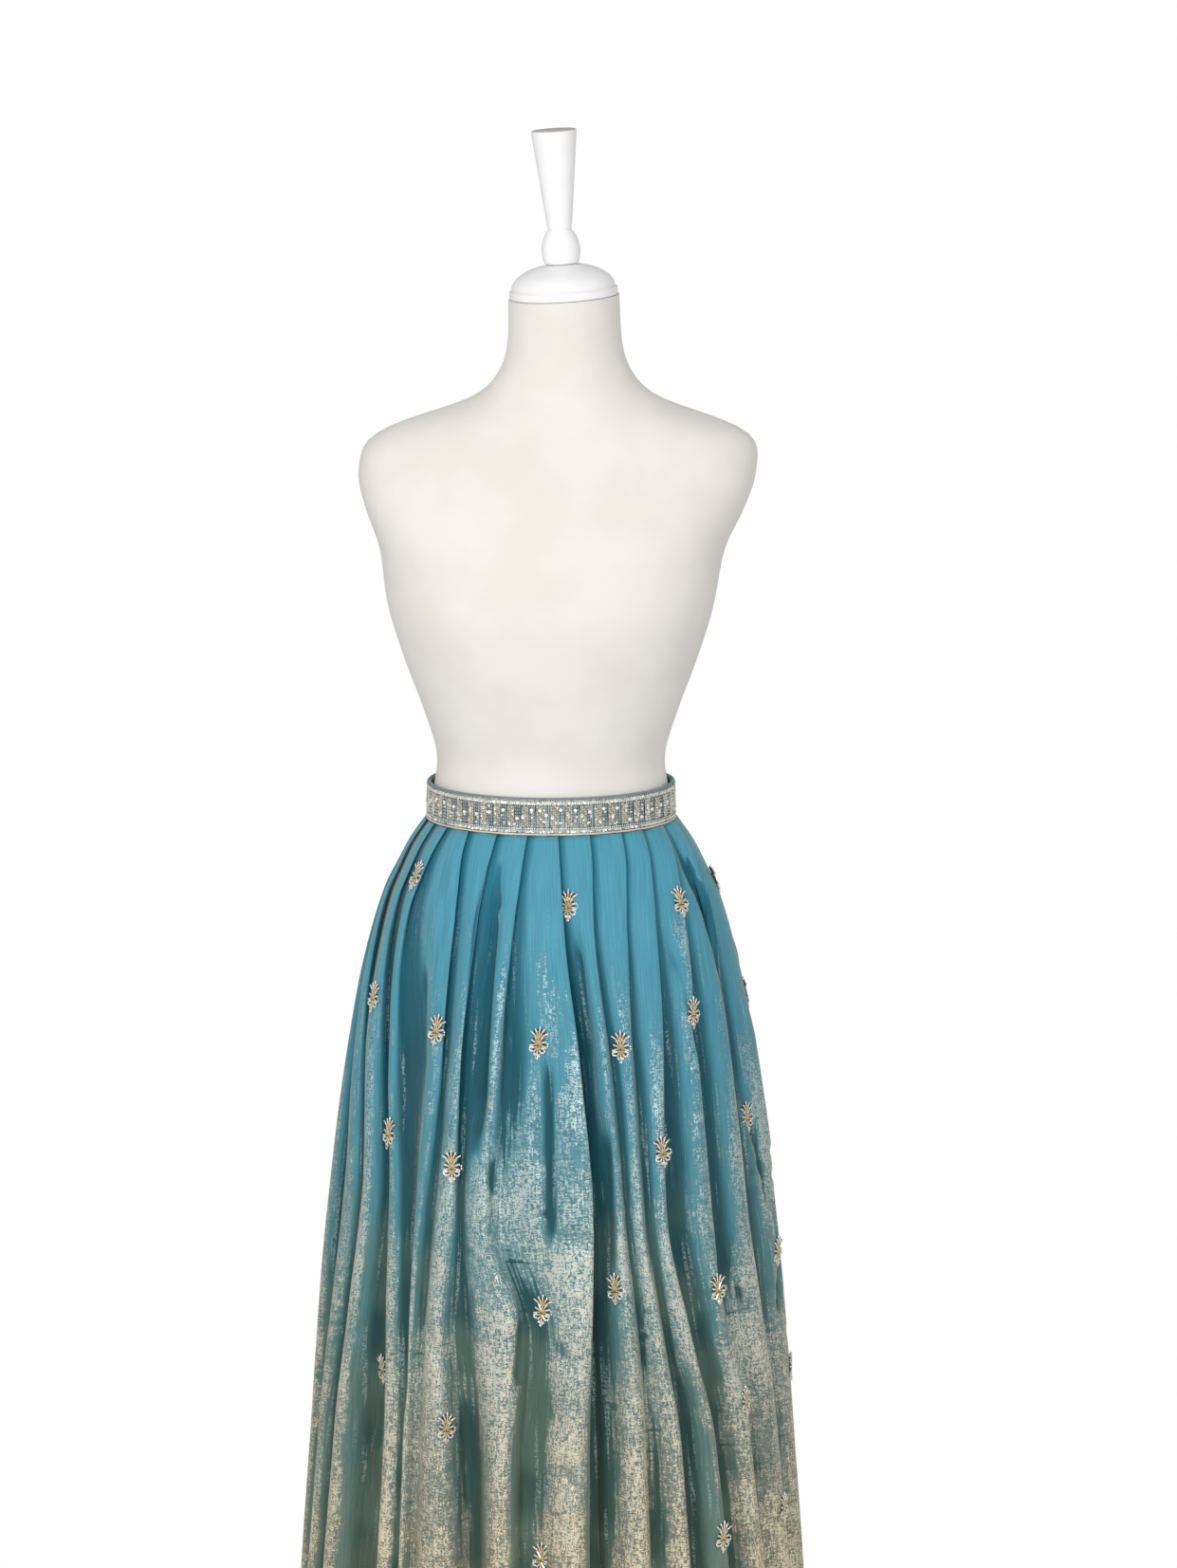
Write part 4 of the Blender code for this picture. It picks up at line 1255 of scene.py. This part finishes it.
def add_band_beads(finish):
    draw = random.Random(BAND_RANDOM_SEED)
    strands = {
        "gold": Beads("waistband_gold_beads", finish["gold beads"]),
        "silver": Beads("waistband_silver_beads", finish["silver beads"]),
        "discs": Beads("waistband_sequins", finish["sequins"]),
        "pearls": Beads("waistband_pearls", finish["pearls"]),
    }
    angles, walked = band_pace()
    length = walked[-1] - 2 * BAND_MARGIN

    def spot(along, above, outward):
        """A place on the band, so far along it from its margin."""
        return band_frame(float(np.interp(BAND_MARGIN + along, walked, angles)), outward, above)

    add_border_beads(spot, strands, length, draw)
    blocks = int(length / BLOCK_PITCH)
    for block in range(blocks):
        add_bead_block(spot, strands, block * length / blocks, block, draw)
    for beads in strands.values():
        beads.make()


def add_waistband(band_cloth, finish):
    """The band's cloth with its raised borders, its binding, its piping and its beads."""
    top = BAND_HEIGHT
    raised = BORDER_FACE
    slope = BORDER_RISE * 1.2
    body = (
        (-BAND_THICKNESS, 0.0004), (-BAND_THICKNESS + 0.0004, 0.0), (BORDER_RISE * 0.5, 0.0),
        (BORDER_RISE * 0.8, 0.0012), (raised, BORDER_HEIGHT - slope), (0.0, BORDER_HEIGHT),
        (0.0, top - BORDER_HEIGHT), (raised, top - BORDER_HEIGHT + slope), (raised, top - 0.0012),
        (0.0, top - 0.0002), (-0.0012, top), (-BAND_THICKNESS, top - 0.0004),
    )
    band = add_swept("waistband_cloth", body, band_cloth)
    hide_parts("waistband")
    binding = (
        (0.0004, top - 0.0016), (0.0010, top - 0.0008), (0.0004, top + 0.0002), (-0.0016, top + 0.0004),
        (-0.0016, top - 0.0004),
    )
    add_swept("waistband_binding", binding, finish["binding"])
    piping = [(0.0006 + 0.0010 * cos(tau * i / 8), 0.0006 + 0.0010 * sin(tau * i / 8)) for i in range(8)]
    add_swept("waistband_piping", piping, finish["piping"], sharp=60.0)
    add_band_beads(finish)


# Dress form

def torso_ring(height):
    """A ring of the form: a rounded oval whose front and back depths differ."""
    heights, *columns = zip(*TORSO)
    half_width, front, back, squareness, centre = (smooth_read(heights, column, height) for column in columns)
    slope = tan(radians(CAP_TILT)) * ease((height - CAP_TILT_FROM) / (NECK_TOP_Z - CAP_TILT_FROM))
    loop = []
    for i in range(TORSO_SIDES):
        angle = tau * i / TORSO_SIDES
        across, forward = sin(angle), cos(angle)
        reach = (abs(across) ** squareness + abs(forward) ** squareness) ** (-1 / squareness)
        depth = blend(back, front, ease(0.5 + forward * DEPTH_CHANGE))
        side = half_width * reach * across
        loop.append((centre + side, -depth * reach * forward, height + side * slope))
    return loop


def add_torso():
    heights = np.linspace(NECK_TOP_Z, TORSO_FOOT_Z, TORSO_RINGS)
    points = np.array([torso_ring(height) for height in heights])
    for _ in range(TORSO_SMOOTHINGS):
        points[1:-1, :, :2] = ((points[:-2] + 2 * points[1:-1] + points[2:]) / 4)[..., :2]
    torso = add_capped("torso_jersey", points, jersey_material(), 50.0)
    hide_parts("form_torso")


def add_turned(name, profile, above, material):
    """A turned piece from a profile of radius and height, listed from the top down, on the leaning neck."""
    mesh = bpy.data.meshes.new(name)
    points = [(radius, 0.0, height) for radius, height in profile]
    mesh.from_pydata(points, [(i, i + 1) for i in range(len(points) - 1)], [])
    made = new_object(name, mesh, [material])
    lean = radians(CAP_TILT)
    made.location = (NECK_CENTRE - above * sin(lean), 0.0, NECK_TOP_Z + above * cos(lean))
    made.rotation_euler.y = -lean
    screw = made.modifiers.new("turned", "SCREW")
    screw.axis = "Z"
    screw.steps = TURNED_SIDES
    screw.render_steps = TURNED_SIDES
    screw.use_merge_vertices = True
    screw.merge_threshold = 0.00001
    screw.use_smooth_shade = True
    screw.use_normal_calculate = True
    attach(made, "root")
    return made


def rounded(corners, radius, steps=5):
    """A profile whose inner corners are rounded off."""
    line = [corners[0]]
    for before, corner, after in zip(corners, corners[1:], corners[2:]):
        corner = Vector(corner)
        back = Vector(before) - corner
        ahead = Vector(after) - corner
        cut = min(radius, back.length * 0.45, ahead.length * 0.45)
        start = corner + back.normalized() * cut
        end = corner + ahead.normalized() * cut
        for i in range(steps + 1):
            t = i / steps
            point = start * (1 - t) ** 2 + corner * 2 * t * (1 - t) + end * t * t
            line.append((point.x, point.y))
    line.append(corners[-1])
    return line


def add_cap_and_finial(finish):
    arc = [radians(90 - 6 * i) for i in range(16)]
    dome_radius = CAP_RADIUS * 0.96
    dome = [(dome_radius * cos(a), CAP_RIM + CAP_DOME * sin(a)) for a in arc]
    rim = rounded(
        [(dome_radius, CAP_RIM), (dome_radius, CAP_RIM - 0.0008), (CAP_RADIUS, CAP_RIM - 0.0008),
         (CAP_RADIUS, 0.0), (0.0, 0.0)], 0.0022,
    )
    cap = add_turned("neck_cap_enamel", dome + rim, SEAM_GAP, finish["enamel"])
    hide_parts("neck_cap")

    turns = [radians(blend(FINIAL_BALL_TOP, FINIAL_BALL_FOOT, i / 20)) for i in range(21)]
    reach = FINIAL_BALL_HEIGHT / (cos(turns[0]) - cos(turns[-1]))
    ball = [(FINIAL_BALL_RADIUS * sin(a), reach * (cos(a) - cos(turns[-1]))) for a in turns]
    cone_foot = FINIAL_BALL_HEIGHT + 0.002
    cone_top = cone_foot + FINIAL_CONE_HEIGHT
    cone = rounded(
        [(0.0, cone_top), (FINIAL_CONE_TOP, cone_top), (FINIAL_CONE_FOOT, cone_foot),
         (FINIAL_GROOVE_RADIUS, cone_foot - 0.001)], 0.0010,
    )
    foot = CAP_RIM + CAP_DOME + 2 * SEAM_GAP
    finial = add_turned("finial_enamel", cone + ball + [(0.0, 0.0)], foot, finish["enamel"])
    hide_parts("finial")
    face = [(0.0, 0.0003), (FINIAL_CONE_TOP - 0.0012, 0.0003), (FINIAL_CONE_TOP - 0.0009, 0.0), (0.0, 0.0)]
    add_turned("finial_top_face", face, foot + cone_top, finish["primer"])


# Light, floor and camera

CAMERA_ELEVATION = 11.0
CAMERA_DISTANCE = 6.2
CAMERA_TARGET = (0.0367, 0.0, 1.0505)
FOCAL_PIXELS = 1075 * CAMERA_DISTANCE   # 1075 pixels for each metre, as in the photo
PHOTO_HEIGHT = 1653
WORLD_STRENGTH = 0.54
# Round soft lights: place, aim, size and power
LIGHTS = {
    "key from the upper left": ((-1.9, -3.2, 2.7), (0.0, 0.0, 0.9), 1.2, 52.0),
    "front light on the form": ((1.0, -4.3, 1.8), (0.0, 0.0, 1.3), 1.6, 60.0),
}


def put(thing, place, target):
    """Puts a light or the camera in its place, aimed at its target."""
    thing.location = place
    thing.rotation_euler = (Vector(target) - thing.location).to_track_quat("-Z", "Y").to_euler()


def add_lights():
    for name, (place, target, size, power) in LIGHTS.items():
        data = bpy.data.lights.new(name, "AREA")
        data.shape = "DISK"
        data.size = size
        data.energy = power
        put(new_object(name, data), place, target)


def make_world():
    """A white background, with a dimmer even light on the object."""
    world = bpy.data.worlds.new("white studio")
    world.use_nodes = True
    seen = add_node(world.node_tree, "LightPath", output="Is Camera Ray")
    strength = add_node(
        world.node_tree, "MapRange", (seen, 0.0, 1.0, WORLD_STRENGTH, 1.0), interpolation_type="SMOOTHSTEP"
    )
    connect(world.node_tree.nodes["Background"], {"Color": (1, 1, 1, 1), "Strength": strength})
    bpy.context.scene.world = world


def add_camera():
    data = bpy.data.cameras.new("camera")
    data.sensor_fit = "VERTICAL"
    data.sensor_height = 24.0
    data.lens = FOCAL_PIXELS / PHOTO_HEIGHT * data.sensor_height
    data.clip_end = 50.0
    made = new_object("camera", data)
    lean = radians(CAMERA_ELEVATION)
    target = Vector(CAMERA_TARGET)
    put(made, target + Vector((0, -cos(lean), sin(lean))) * CAMERA_DISTANCE, target)
    bpy.context.scene.camera = made


def add_floor(material):
    mesh = bpy.data.meshes.new("floor")
    bm = bmesh.new()
    bmesh.ops.create_circle(bm, cap_ends=True, radius=FLOOR_RADIUS, segments=96)
    bm.to_mesh(mesh)
    bm.free()
    floor = new_object("floor", mesh, [material])
    floor.location.z = -0.0005


def set_cad_material(node, material):
    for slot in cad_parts[node].material_slots:
        slot.link = "OBJECT"
        slot.material = material


def main():
    bpy.context.scene.view_settings.view_transform = "Standard"
    tissue = tissue_material()
    band_cloth = band_cloth_material()
    finish = {key: plain_material(*row) for key, row in FINISHES.items()}

    cloth = make_cloth()
    for node, start, end in PANELS:
        panel = add_panel(node.replace("skirt", "cloth"), cloth, start, end, tissue)
        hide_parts(node)
    add_sprigs(cloth, finish)
    add_waistband(band_cloth, finish)
    add_torso()
    add_cap_and_finial(finish)
    set_cad_material("pole", finish["powder"])
    set_cad_material("base", finish["powder"])
    set_cad_material("waistband_tab", band_cloth)
    add_floor(finish["paper"])
    add_camera()
    make_world()
    add_lights()


main()
